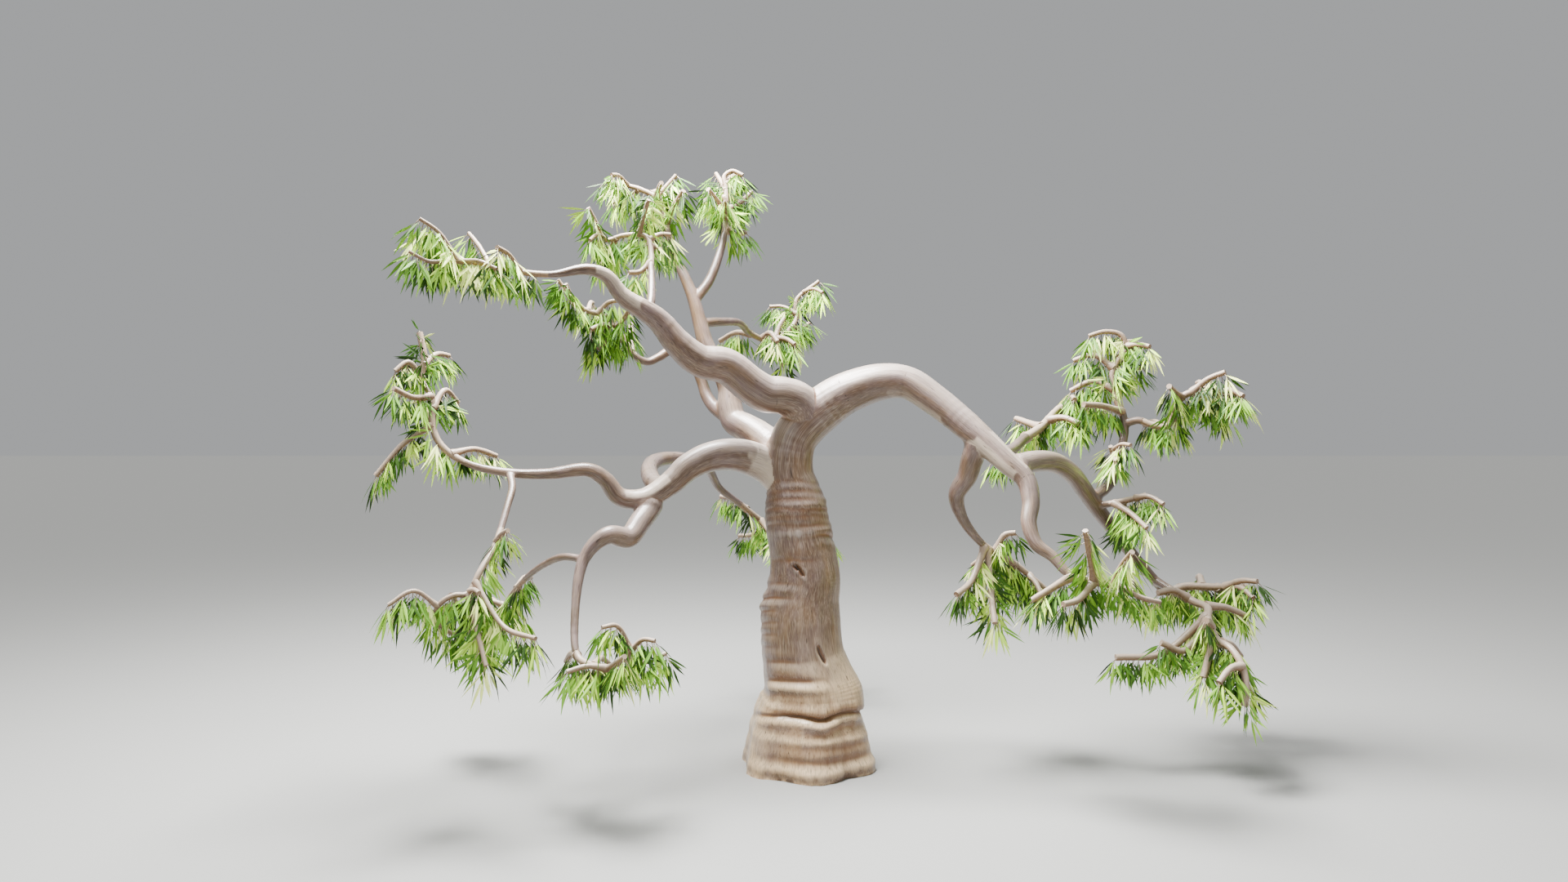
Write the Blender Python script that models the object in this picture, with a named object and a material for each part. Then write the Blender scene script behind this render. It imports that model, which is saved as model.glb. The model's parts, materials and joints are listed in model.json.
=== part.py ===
"""A crooked, spreading scribbly gum, 5.7 m tall and 8.1 m across, as closed solids.

Metres, +Z up, +X to the right of the tree's showing side, +Y away from it. The origin is the middle of
the flat cut under the trunk, at ground level. Every limb is a middle line through a few bends, with its
half-thickness at even shares of the way. A limb is cut into named pieces at its sharp bends, and each
piece has a collar for every limb that leaves it. Foliage grows from the tips by one seeded rule.
"""

import math
import random
from typing import NamedTuple

import bmesh
import bpy
import numpy as np
from mathutils import Vector
from mathutils.bvhtree import BVHTree

# Driving dimensions, in metres
CLEAR = 0.0003  # between neighbouring pieces
CURVE_STEP = 0.02  # between the places worked out along a middle line
COLLAR_SWELL = 0.28  # how much thicker a limb is where it leaves its parent
ROOT_SHARE = 0.8  # of its parent's radius, the most that a limb has where it starts inside its parent
ROOT_WIDENS = 0.35  # how much that limit grows with each metre along the limb
TRUNK_RING_STEP = 0.22  # and one ring at each fold's crest and its two feet
LIMB_RING_STEP = 0.19
COLLAR_RING_STEP = 0.13
STEM_RING_STEP = 0.15
TWIG_RING_STEP = 0.24
TRUNK_SIDES = 18
COLLAR_SIDES = 7  # of the stem of a mass that leaves a bough with no branch of its own
STEM_SIDES = 5
TWIG_SIDES = 3
SHARP_EDGE = math.radians(50)  # an edge that turns more than this stays crisp

# The root flare's lobes, and the swollen folds that ring the trunk: height, reach up and down, depth
LOBES = 6
LOBE_DEPTH = 0.040
LOBE_HEIGHT = 0.45
LOBE_TURN = math.radians(36)
FOLDS = (
    (0.08, 0.045, 0.016),
    (0.33, 0.060, 0.008),
    (0.53, 0.030, -0.014),
    (0.65, 0.080, 0.018),
    (2.12, 0.040, 0.008),
    (2.36, 0.050, 0.012),
)
FOLD_FEET = 1.2  # reaches from a fold's crest to where it has died away
FOLD_WANDER = 0.25  # reaches by which a fold rises and falls on its way round
FOLD_TURN = 9  # radians by which that turns for each metre up the trunk
LEFT_CALM = 0.7  # of a fold's depth that the smooth left flank lacks
HIP_HEIGHT = 0.67  # the bulge low on the right flank
HIP_REACH = 0.10
HIP_DEPTH = 0.034
STEPS = (  # on the left side alone: a swelling and the hollow over it, given as the folds are
    (1.41, 0.060, 0.020),
    (1.53, 0.035, -0.016),
)

# Foliage
LEAF_LENGTH = 0.29
LEAF_WIDTH = 0.060
LEAF_THICKNESS = 0.006
LEAF_BELLY = 0.36  # share of a leaf's length at which it is widest
LEAF_STEP = 0.25  # along a twig
LEAF_SPREAD = (0.82, 1.15)  # shortest and longest leaf, as shares of its length
LEAF_SINK = 0.3  # twig radii that a leaf's root goes on past the twig's middle
LEAF_CLEARS = 1.6  # twig radii from its root at which a leaf has to be clear of all other wood
LEVEL_HANG = (1.1, 2.8)  # how far a leaf points down for each unit out, on a level twig
UPRIGHT_HANG = (0.3, 0.9)
UPRIGHT = 0.3  # sine of the angle from plumb under which a twig counts as upright
LEAF_FORWARD = (0.0, 0.5)
LEAF_SCATTER = 0.25
TIP_FORWARD = 0.5
BARE_SHARE = 0.12  # of a twig's length, next to its root
TWIG_TAPER = 0.6
TWIG_SHARE = 0.8  # a side twig's thickness next to that of the stem it leaves
TWIG_CLEARS = 3.4  # stem radii from its root at which a side twig has to stand clear of the stem
TWIG_LAST = 0.97  # share of the stem past which no twig leaves
SHOOT_LENGTH = (0.16, 0.34)
SHOOT_PLACE = (0.3, 0.9)
SHOOT_RISE = (-0.3, 0.6)
SHOOT_ARCH = 0.1
SPACE_LEFT = 0.004  # kept round every twig and leaf
LOWEST = 0.03  # no leaf reaches nearer to the ground

BARK = {
    "tan": ("8C7660", 0.45),
    "brown": ("7A6A5C", 0.42),
    "grey": ("8A7F78", 0.38),
}
LEAF_GREEN = ("5B7340", 0.5)


class Run(NamedTuple):
    """One bare piece of a limb, from its first bend to the next piece's first bend."""

    name: str
    bends: tuple
    radii: tuple
    sides: int
    bark: str


class Foliage(NamedTuple):
    """A mass of leaves round a stem that goes on from the limb's tip.

    A twig is the share of the stem at which it leaves, where its tip lies from there, and how far its
    middle arches above the straight line. Shoots are the small twigs that the seeded rule adds.
    """

    name: str
    bends: tuple
    radii: tuple
    twigs: tuple
    shoots: int
    seed: int


class Limb(NamedTuple):
    """A limb that leaves another one so far along its middle line, with a collar of the given length."""

    name: str
    parent: str
    leaves_at: float
    collar: float
    runs: tuple
    foliage: Foliage


TREE = (
    Limb("leader", "", 0.0, 0.0, (
        Run("trunk",
            ((0, 0, 0), (0, 0, 0.40), (0.02, 0, 0.66), (-0.05, 0.01, 1.05), (-0.06, 0.02, 1.45),
             (-0.03, 0.02, 1.70), (-0.09, 0.01, 2.15), (-0.12, 0, 2.42), (-0.165, 0, 2.68),
             (-0.13, 0, 2.91), (-0.01, 0.01, 3.08), (0.17, 0, 3.23)),
            (0.590, 0.524, 0.425, 0.370, 0.355, 0.325, 0.292, 0.274, 0.216, 0.208, 0.212, 0.192),
            TRUNK_SIDES, "tan"),
        Run("right_bough_arch",
            ((0.34, -0.01, 3.335), (0.64, -0.04, 3.435)),
            (0.188, 0.150), 14, "brown"),
        Run("right_bough_shoulder",
            ((0.88, -0.08, 3.43), (1.12, -0.18, 3.27), (1.46, -0.38, 2.96), (1.69, -0.55, 2.72)),
            (0.148, 0.126, 0.084), 11, "grey"),
        Run("right_bough_fall",
            ((1.82, -0.64, 2.58), (1.84, -0.74, 2.40), (1.80, -0.84, 2.23), (1.84, -0.93, 2.07),
             (1.96, -1.00, 1.97)),
            (0.082, 0.062, 0.038), 9, "brown"),
    ), Foliage("right_bough_foliage",
        ((2.06, -1.08, 1.85), (2.24, -1.15, 1.79), (2.45, -1.20, 1.75), (2.61, -1.20, 1.67),
         (2.77, -1.15, 1.63)),
        (0.032, 0.018),
        ((0.05, -0.30, 0.09, -0.21, 0.0), (0.27, -0.31, -0.25, -0.14, -0.05),
         (0.27, -0.14, -0.25, 0.43, 0.02), (0.45, 0.05, -0.33, 0.30, 0.03),
         (0.66, 0.10, 0.30, 0.12, 0.05)),
        1, 11)),
    Limb("upper_left", "leader", 3.10, 0.50, (
        Run("upper_left_bough",
            ((-0.03, -0.03, 3.16), (-0.09, -0.07, 3.26), (-0.24, -0.13, 3.315),
             (-0.37, -0.175, 3.325), (-0.50, -0.23, 3.395),
             (-0.72, -0.32, 3.56), (-0.94, -0.42, 3.60), (-1.11, -0.50, 3.73), (-1.29, -0.58, 3.94),
             (-1.56, -0.72, 4.12), (-1.68, -0.82, 4.27), (-1.82, -0.90, 4.31)),
            (0.166, 0.156, 0.108, 0.064, 0.028), 12, "brown"),
    ), Foliage("upper_left_foliage",
        ((-2.08, -1.02, 4.25), (-2.27, -1.10, 4.25), (-2.42, -1.20, 4.27), (-2.60, -1.33, 4.29),
         (-2.79, -1.50, 4.28)),
        (0.026, 0.017),
        ((0.30, -0.10, -0.30, 0.14, 0.04), (0.58, -0.27, 0.35, 0.32, 0.02), (0.83, -0.36, 0.10, 0.24, 0.03),
         (0.88, -0.25, -0.14, 0.30, 0.06), (1.0, -0.24, -0.18, 0.04, -0.04)),
        1, 23)),
    Limb("riser", "upper_left", 1.86, 0.14, (
        Run("left_riser",
            ((-1.35, -0.50, 4.11), (-1.37, -0.30, 4.34)),
            (0.036, 0.028), 7, "brown"),
    ), Foliage("left_riser_foliage",
        ((-1.39, -0.18, 4.46), (-1.40, -0.08, 4.57), (-1.46, 0.05, 4.76), (-1.67, 0.10, 4.78),
         (-1.84, 0.10, 4.74), (-1.91, 0.03, 4.88), (-1.97, -0.05, 5.00)),
        (0.026, 0.018),
        ((0.05, -0.18, -0.14, -0.12, -0.04), (0.23, 0.19, 0.24, 0.05, -0.03),
         (0.42, 0.11, -0.17, 0.28, 0.02),
         (0.61, -0.21, 0.24, -0.18, -0.03), (0.70, -0.10, -0.26, -0.05, 0.05)),
        1, 31)),
    Limb("lower_left", "leader", 2.50, 0.46, (
        Run("lower_left_bough",
            ((-0.38, 0.00, 2.69), (-0.62, -0.08, 2.78), (-0.85, -0.18, 2.77), (-1.05, -0.27, 2.68),
             (-1.20, -0.34, 2.54), (-1.42, -0.42, 2.41), (-1.62, -0.48, 2.43), (-1.74, -0.52, 2.58),
             (-1.87, -0.56, 2.66), (-2.20, -0.62, 2.63), (-2.52, -0.66, 2.64)),
            (0.155, 0.116, 0.078, 0.048, 0.030), 10, "brown"),
    ), Foliage("lower_left_foliage",
        ((-2.86, -0.70, 2.72), (-3.07, -0.72, 2.87), (-3.15, -0.70, 3.03), (-3.17, -0.66, 3.28),
         (-3.27, -0.62, 3.43), (-3.26, -0.58, 3.60), (-3.31, -0.55, 3.83)),
        (0.029, 0.028, 0.027),
        ((0.12, 0.30, 0.30, -0.02, 0.05), (0.35, -0.41, -0.17, -0.42, 0.06), (0.46, 0.12, 0.30, 0.06, 0.13),
         (0.54, -0.19, -0.36, 0.05, -0.04), (0.68, -0.17, -0.14, 0.06, 0.11),
         (0.78, 0.12, 0.30, 0.10, 0.05)),
        1, 41)),
    Limb("behind_trunk", "lower_left", 1.38, 0.16, (
        Run("back_loop_branch",
            ((-1.37, -0.20, 2.55), (-1.44, 0.10, 2.66), (-1.40, 0.40, 2.725), (-1.19, 0.80, 2.735),
             (-0.99, 1.20, 2.63), (-0.89, 1.50, 2.42)),
            (0.080, 0.068, 0.046, 0.036), 8, "grey"),
    ), Foliage("back_loop_foliage",
        ((-0.70, 1.75, 2.25), (-0.42, 2.00, 2.02), (-0.17, 2.10, 1.92), (0.10, 2.15, 1.87),
         (0.32, 2.10, 1.80)),
        (0.034, 0.020),
        ((0.12, -0.30, 0.40, 0.12, 0.04), (0.30, 0.30, -0.30, -0.30, -0.04),
         (0.38, -0.32, 0.32, -0.16, -0.05),
         (0.58, 0.33, 0.50, 0.05, 0.04), (0.80, 0.12, -0.36, 0.02, 0.05)),
        1, 53)),
    Limb("drooping", "lower_left", 1.48, 0.20, (
        Run("drooping_left_branch",
            ((-1.37, -0.43, 2.33), (-1.44, -0.55, 2.21), (-1.52, -0.68, 2.10), (-1.66, -0.80, 2.13),
             (-1.77, -0.84, 2.06), (-1.85, -0.88, 1.94), (-1.88, -0.96, 1.80), (-1.88, -1.10, 1.57)),
            (0.098, 0.084, 0.050, 0.034, 0.030), 9, "brown"),
    ), Foliage("drooping_left_foliage",
        ((-1.84, -1.30, 1.29), (-1.79, -1.37, 1.22), (-1.67, -1.45, 1.19), (-1.54, -1.50, 1.18),
         (-1.44, -1.52, 1.25), (-1.36, -1.50, 1.33)),
        (0.029, 0.021),
        ((0.10, -0.14, 0.26, -0.10, 0.04), (0.40, 0.06, 0.36, -0.06, 0.05), (0.62, 0.17, -0.35, 0.16, 0.0),
         (0.84, 0.30, 0.20, 0.0, -0.05), (1.0, -0.20, -0.15, 0.20, 0.10), (0.95, 0.20, -0.10, 0.10, 0.05)),
        1, 61)),
    Limb("low_left", "drooping", 0.98, 0.11, (
        Run("low_left_branch",
            ((-2.03, -0.80, 1.95), (-2.21, -0.66, 1.88)),
            (0.034, 0.027), 7, "grey"),
    ), Foliage("low_left_foliage",
        ((-2.42, -0.45, 1.74), (-2.59, -0.25, 1.58), (-2.76, -0.05, 1.39), (-2.97, 0.10, 1.24),
         (-3.13, 0.20, 1.14)),
        (0.025, 0.017),
        ((0.20, 0.05, 0.32, 0.05, 0.05), (0.55, 0.16, 0.26, -0.13, 0.06), (0.50, -0.30, 0.22, -0.04, 0.08),
         (0.76, 0.05, -0.28, -0.12, 0.03), (0.81, 0.03, 0.16, -0.28, 0.0)),
        1, 73)),
    Limb("drop_left", "lower_left", 2.80, 0.11, (
        Run("hanging_left_branch",
            ((-2.46, -0.80, 2.52), (-2.46, -0.95, 2.38)),
            (0.031, 0.027), 7, "grey"),
    ), Foliage("hanging_left_foliage",
        ((-2.47, -1.12, 2.20), (-2.48, -1.22, 2.10), (-2.54, -1.45, 1.91), (-2.61, -1.55, 1.75),
         (-2.69, -1.60, 1.75), (-2.79, -1.62, 1.69), (-2.87, -1.60, 1.54)),
        (0.027, 0.019),
        ((0.12, 0.12, -0.12, 0.10, 0.02), (0.52, 0.55, -0.38, -0.36, -0.13),
         (0.62, 0.20, -0.22, -0.50, 0.0),
         (0.86, -0.30, -0.20, 0.04, 0.11), (0.96, 0.24, 0.22, -0.06, -0.10),
         (0.74, -0.06, 0.34, -0.16, 0.05)),
        1, 83)),
    Limb("back", "leader", 2.74, 0.30, (
        Run("back_bough",
            ((-0.44, 0.33, 2.95), (-0.57, 0.43, 3.03), (-0.69, 0.52, 3.10), (-0.73, 0.57, 3.23),
             (-0.74, 0.62, 3.40), (-0.80, 0.66, 3.55), (-0.90, 0.70, 3.70), (-0.97, 0.73, 3.84),
             (-1.03, 0.77, 4.05), (-1.10, 0.82, 4.30), (-1.19, 0.88, 4.52), (-1.30, 0.95, 4.74)),
            (0.150, 0.120, 0.082, 0.056, 0.034), 10, "grey"),
    ), Foliage("top_left_foliage",
        ((-1.37, 1.01, 4.98), (-1.42, 1.06, 5.18), (-1.50, 1.10, 5.35), (-1.66, 1.12, 5.44),
         (-1.82, 1.14, 5.49), (-2.02, 1.16, 5.53)),
        (0.032, 0.020),
        ((0.11, 0.20, -0.24, 0.27, 0.02), (0.20, -0.30, 0.20, -0.04, 0.05), (0.42, 0.20, 0.05, 0.24, 0.0),
         (0.50, 0.14, 0.40, 0.10, 0.03), (0.62, -0.34, 0.36, -0.06, -0.03),
         (0.76, -0.10, -0.36, 0.02, 0.04)),
        1, 97)),
    Limb("top", "back", 2.14, 0.17, (
        Run("top_branch",
            ((-0.96, 0.93, 4.48), (-0.87, 1.04, 4.73)),
            (0.050, 0.036), 8, "grey"),
    ), Foliage("top_foliage",
        ((-0.82, 1.16, 4.98), (-0.81, 1.28, 5.26), (-0.81, 1.36, 5.50), (-0.83, 1.40, 5.64),
         (-0.75, 1.42, 5.70), (-0.64, 1.40, 5.65)),
        (0.033, 0.022),
        ((0.10, 0.20, 0.20, 0.0, -0.05), (0.22, 0.02, -0.34, 0.12, 0.04), (0.32, -0.16, -0.27, 0.16, 0.0),
         (0.34, 0.26, 0.24, 0.24, -0.03), (0.48, -0.24, 0.22, 0.02, 0.05), (0.58, -0.12, 0.26, 0.24, 0.0)),
        1, 101)),
    Limb("behind_fork", "back", 1.90, 0.16, (
        Run("rear_branch",
            ((-0.86, 0.98, 4.09), (-0.67, 1.24, 4.11)),
            (0.046, 0.036), 7, "grey"),
    ), Foliage("rear_foliage",
        ((-0.57, 1.48, 4.03), (-0.36, 1.75, 3.98), (-0.16, 1.95, 4.11), (-0.07, 2.05, 4.27),
         (-0.08, 2.10, 4.45), (0.17, 2.15, 4.67)),
        (0.031, 0.021),
        ((0.02, -0.34, 0.24, -0.05, 0.05), (0.15, 0.17, -0.22, -0.05, 0.08), (0.30, 0.10, 0.12, 0.24, 0.03),
         (0.40, 0.0, 0.06, -0.34, 0.0), (0.52, 0.20, 0.42, 0.09, -0.05), (0.64, -0.30, 0.10, 0.10, 0.04),
         (0.85, 0.20, -0.26, -0.04, 0.04)),
        1, 113)),
    Limb("mid_left", "back", 0.72, 0.40, (
        Run("middle_left_branch",
            ((-0.85, 0.63, 3.20), (-0.96, 0.72, 3.34), (-1.02, 0.77, 3.50), (-1.13, 0.78, 3.70),
             (-1.30, 0.75, 3.79),
             (-1.42, 0.70, 3.72), (-1.53, 0.64, 3.67)),
            (0.062, 0.048, 0.044, 0.034), 8, "grey"),
    ), Foliage("middle_left_foliage",
        ((-1.65, 0.58, 3.73), (-1.79, 0.46, 3.96), (-1.90, 0.40, 4.08), (-2.04, 0.34, 4.12),
         (-2.18, 0.28, 4.19), (-2.23, 0.22, 4.30), (-2.29, 0.18, 4.39)),
        (0.032, 0.018),
        ((0.04, -0.05, 0.36, 0.30, 0.02), (0.18, -0.24, -0.10, -0.10, 0.04), (0.29, 0.16, -0.27, 0.14, 0.0),
         (0.44, -0.17, 0.06, -0.34, 0.0), (0.51, 0.19, -0.03, 0.12, 0.04), (0.60, -0.02, 0.34, 0.12, 0.04),
         (0.66, -0.11, -0.20, 0.20, -0.04)),
        1, 127)),
    Limb("right_inner", "leader", 4.98, 0.18, (
        Run("inner_right_branch",
            ((1.42, -0.33, 2.74), (1.39, -0.27, 2.60), (1.31, -0.20, 2.43), (1.37, -0.12, 2.23)),
            (0.098, 0.080, 0.050, 0.036), 9, "brown"),
    ), Foliage("inner_right_foliage",
        ((1.56, -0.03, 1.99), (1.71, 0.03, 1.89), (1.87, 0.08, 1.80), (2.04, 0.12, 1.67),
         (2.21, 0.15, 1.53)),
        (0.033, 0.023),
        ((0.06, -0.32, -0.38, -0.38, -0.10), (0.10, 0.0, -0.33, -0.62, -0.08),
         (0.20, 0.18, -0.05, 0.18, 0.07),
         (0.30, -0.20, 0.34, -0.12, 0.04), (0.45, -0.08, 0.19, -0.25, 0.0), (0.50, 0.10, 0.34, -0.30, 0.0),
         (0.70, 0.06, -0.26, -0.16, 0.03)),
        1, 131)),
    Limb("right_back", "leader", 5.20, 0.17, (
        Run("right_back_branch",
            ((1.81, -0.13, 2.83),),
            (0.060, 0.046), 8, "grey"),
    ), Foliage("right_back_foliage",
        ((1.98, 0.13, 2.93), (2.20, 0.40, 3.04), (2.42, 0.60, 3.22), (2.64, 0.75, 3.30),
         (2.86, 0.85, 3.32)),
        (0.040, 0.022),
        ((0.05, -0.22, 0.48, -0.24, -0.05), (0.29, -0.14, 0.42, 0.09, 0.0),
         (0.40, 0.24, -0.26, -0.04, 0.04),
         (0.57, 0.37, 0.40, -0.10, -0.02), (0.72, -0.04, -0.30, 0.02, 0.04)),
        1, 149)),
    Limb("far_right", "leader", 5.38, 0.20, (
        Run("far_right_bough",
            ((1.95, -0.38, 2.73), (2.16, -0.22, 2.72), (2.36, -0.06, 2.62), (2.53, 0.10, 2.45),
             (2.70, 0.25, 2.26), (2.90, 0.40, 2.05), (3.10, 0.50, 1.82), (3.30, 0.58, 1.61)),
            (0.096, 0.082, 0.064, 0.042), 9, "brown"),
    ), Foliage("far_right_foliage",
        ((3.47, 0.62, 1.46), (3.61, 0.61, 1.51), (3.88, 0.52, 1.52), (4.16, 0.45, 1.53)),
        (0.039, 0.031),
        ((0.05, 0.16, 0.40, -0.12, 0.04), (0.19, -0.14, 0.32, -0.24, -0.05), (0.45, 0.10, 0.36, 0.04, 0.05),
         (0.62, 0.37, 0.28, -0.22, -0.03), (0.80, 0.08, -0.30, -0.06, 0.04)),
        1, 151)),
    Limb("right_middle", "far_right", 1.36, 0.17, (), Foliage("right_middle_foliage",
        ((2.76, 0.08, 2.34), (2.88, 0.03, 2.37), (3.05, 0.0, 2.42)),
        (0.030, 0.026),
        ((0.10, 0.18, -0.34, -0.20, 0.02), (0.35, 0.08, 0.24, -0.30, 0.03),
         (0.70, 0.16, -0.26, -0.04, 0.04)),
        1, 163)),
    Limb("lowest_right", "far_right", 2.42, 0.15, (), Foliage("lowest_right_foliage",
        ((3.44, 0.40, 1.50), (3.58, 0.22, 1.42), (3.62, 0.05, 1.40), (3.55, -0.15, 1.32),
         (3.55, -0.35, 1.18),
         (3.60, -0.50, 1.14), (3.64, -0.62, 1.03), (3.65, -0.70, 0.86), (3.62, -0.74, 0.70)),
        (0.038, 0.038, 0.036, 0.027),
        ((0.14, -0.30, -0.08, 0.06, 0.05), (0.28, 0.40, 0.10, -0.10, 0.03),
         (0.40, -0.84, -0.06, -0.36, -0.15),
         (0.44, -0.42, 0.0, -0.20, -0.17), (0.55, -0.14, -0.12, -0.34, 0.0),
         (0.62, 0.26, 0.22, -0.16, 0.04),
         (0.80, -0.26, -0.16, -0.10, 0.05)),
        1, 173)),
    Limb("upper_right", "far_right", 1.24, 0.16, (
        Run("upper_right_branch",
            ((2.76, 0.24, 2.47), (2.87, 0.28, 2.62), (2.94, 0.34, 2.85), (2.98, 0.38, 3.02)),
            (0.052, 0.040, 0.036), 8, "grey"),
    ), Foliage("upper_right_foliage",
        ((2.97, 0.41, 3.16), (2.92, 0.44, 3.30), (2.89, 0.48, 3.51), (2.94, 0.50, 3.65),
         (3.04, 0.52, 3.78), (2.99, 0.54, 3.92), (2.84, 0.56, 3.95), (2.70, 0.58, 3.91)),
        (0.034, 0.031, 0.022),
        ((0.02, -0.44, -0.28, 0.06, 0.02), (0.22, -0.37, 0.14, -0.01, 0.08), (0.31, 0.36, 0.24, 0.13, 0.0),
         (0.40, -0.32, 0.22, 0.09, 0.09), (0.50, 0.14, 0.36, 0.06, 0.04), (0.62, 0.14, -0.24, -0.02, 0.02)),
        1, 181)),
    Limb("right_tuft", "upper_right", 0.52, 0.09, (), Foliage("right_tuft_foliage",
        ((2.82, 0.18, 2.76), (2.76, 0.10, 2.86)),
        (0.024, 0.020),
        ((0.50, -0.06, -0.26, -0.06, 0.04),),
        1, 191)),
    Limb("right_tier", "upper_right", 0.88, 0.13, (), Foliage("right_tier_foliage",
        ((3.10, 0.34, 3.10), (3.20, 0.30, 3.06), (3.33, 0.24, 3.05), (3.39, 0.16, 3.25),
         (3.45, 0.12, 3.33), (3.57, 0.08, 3.36), (3.86, 0.0, 3.31)),
        (0.034, 0.029),
        ((0.22, -0.06, 0.34, 0.02, 0.04), (0.34, 0.20, 0.36, -0.10, 0.0), (0.54, -0.21, -0.26, 0.09, 0.0),
         (0.64, 0.42, 0.20, -0.23, 0.02), (0.74, 0.10, 0.42, 0.10, 0.04), (0.85, 0.10, -0.30, -0.04, 0.04)),
        1, 193)),
)


def smooth_line(bends):
    """Closely spaced places on a curve that passes through every bend without overshooting."""
    bends = [Vector(bend) for bend in bends]
    if len(bends) == 2:
        bends.insert(1, (bends[0] + bends[1]) / 2)
    ends = [2 * bends[0] - bends[1], *bends, 2 * bends[-1] - bends[-2]]
    places = []
    for a, b, c, d in zip(ends, ends[1:], ends[2:], ends[3:]):
        knots = [0.0]
        for near, far in ((a, b), (b, c), (c, d)):
            knots.append(knots[-1] + math.sqrt((far - near).length))
        steps = max(2, round((c - b).length / CURVE_STEP))
        for step in range(steps):
            t = knots[1] + (knots[2] - knots[1]) * step / steps
            first = [near.lerp(far, (t - knots[i]) / (knots[i + 1] - knots[i]))
                     for i, (near, far) in enumerate(((a, b), (b, c), (c, d)))]
            second = [first[i].lerp(first[i + 1], (t - knots[i]) / (knots[i + 2] - knots[i]))
                      for i in range(2)]
            places.append(second[0].lerp(second[1], (t - knots[1]) / (knots[2] - knots[1])))
    places.append(bends[-1])
    return np.array([tuple(place) for place in places])


def unit(rows):
    return rows / np.linalg.norm(rows, axis=-1, keepdims=True)


class MiddleLine:
    """A limb's middle line, with two directions across it that are carried along without a twist."""

    def __init__(self, bends):
        self.places = smooth_line(bends)
        steps = np.linalg.norm(np.diff(self.places, axis=0), axis=1)
        self.lengths = np.concatenate([[0.0], np.cumsum(steps)])
        self.along = unit(np.gradient(self.places, self.lengths, axis=0))
        start = np.array([1.0, 0.0, 0.0]) if abs(self.along[0][0]) < 0.8 else np.array([0.0, 1.0, 0.0])
        across = []
        for direction in self.along:
            start = unit(start - direction * (start @ direction))
            across.append(start)
        self.across = np.array(across)

    def at(self, length):
        """The place, the direction along the limb and the two across it, so far along."""
        place, along, across = (
            np.array([np.interp(length, self.lengths, column) for column in table.T])
            for table in (self.places, self.along, self.across)
        )
        along = unit(along)
        across = unit(across - along * (across @ along))
        return place, along, across, np.cross(along, across)

    def length_at(self, place):
        return self.lengths[np.argmin(np.linalg.norm(self.places - np.array(place), axis=1))]


class Grown:
    """A limb set in its place: its middle line, where each piece starts, and how thick it is."""

    def __init__(self, limb, parents):
        bends = [bend for run in limb.runs for bend in run.bends]
        pieces = list(limb.runs)
        bends += limb.foliage.bends
        pieces.append(limb.foliage)
        self.root = math.inf
        if limb.parent:
            parent = parents[limb.parent]
            bends.insert(0, tuple(parent.line.at(limb.leaves_at)[0]))
            self.root = ROOT_SHARE * parent.radius(limb.leaves_at)
        self.limb = limb
        self.line = MiddleLine(bends)
        self.pieces = pieces
        first = limb.collar
        self.starts = [first] + [self.line.length_at(piece.bends[0]) for piece in pieces[1:]]
        self.ends = self.starts[1:] + [self.line.lengths[-1]]
        stations, radii = [], []
        for piece, start, end in zip(pieces, self.starts, self.ends):
            stations += list(np.linspace(start, end, len(piece.radii)))
            radii += piece.radii
        self.stations, self.radii = stations, radii

    def radius(self, length):
        swell = 1.0
        if self.limb.parent:
            swell += COLLAR_SWELL * max(0.0, 1 - length / self.limb.collar) ** 2
        thickness = swell * float(np.interp(length, self.stations, self.radii))
        return min(thickness, self.root + ROOT_WIDENS * length)

    def piece_at(self, length):
        for piece, start, end in zip(self.pieces, self.starts, self.ends):
            if start <= length < end:
                return piece.name
        return self.pieces[0].name


def trunk_swell(height, angle):
    """How far the trunk's skin stands out from its plain taper at this height and angle."""
    out = LOBE_DEPTH * math.exp(-height / LOBE_HEIGHT) * math.cos(LOBES * (angle - LOBE_TURN))
    left = max(0.0, -math.cos(angle)) ** 2
    for fold, reach, depth in FOLDS:
        wander = FOLD_WANDER * reach * math.sin(2 * angle + FOLD_TURN * fold)
        out += depth * (1 - LEFT_CALM * left) * math.exp(-(((height - fold - wander) / reach) ** 2))
    right = max(0.0, math.cos(angle)) ** 2
    out += HIP_DEPTH * right * math.exp(-(((height - HIP_HEIGHT) / HIP_REACH) ** 2))
    for step, reach, depth in STEPS:
        out += depth * left * math.exp(-(((height - step) / reach) ** 2))
    return out


def even_lengths(start, end, step):
    return list(np.linspace(start, end, max(2, round((end - start) / step)) + 1))


def trunk_lengths(start, end):
    """Even steps up the trunk, with one at each fold's crest and at its two feet."""
    folds = [fold + side * reach for fold, reach, _ in FOLDS + STEPS for side in (-FOLD_FEET, 0, FOLD_FEET)]
    near = [length for length in folds if start < length < end]
    far = [length for length in even_lengths(start, end, TRUNK_RING_STEP)[1:-1]
           if min(abs(length - fold) for fold in near) > TRUNK_RING_STEP / 3]
    return [start, *sorted(near + far), end]


def limb_rings(grown, lengths, sides, relief=None):
    """Rings of places round a limb at the lengths given, each square to its middle line."""
    rings = []
    for length in lengths:
        place, _, across, over = grown.line.at(length)
        ring = []
        for side in range(sides):
            angle = 2 * math.pi * side / sides
            radius = grown.radius(length)
            if relief:
                radius += relief(length, angle)
            ring.append(place + radius * (math.cos(angle) * across + math.sin(angle) * over))
        rings.append(ring)
    return rings


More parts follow.
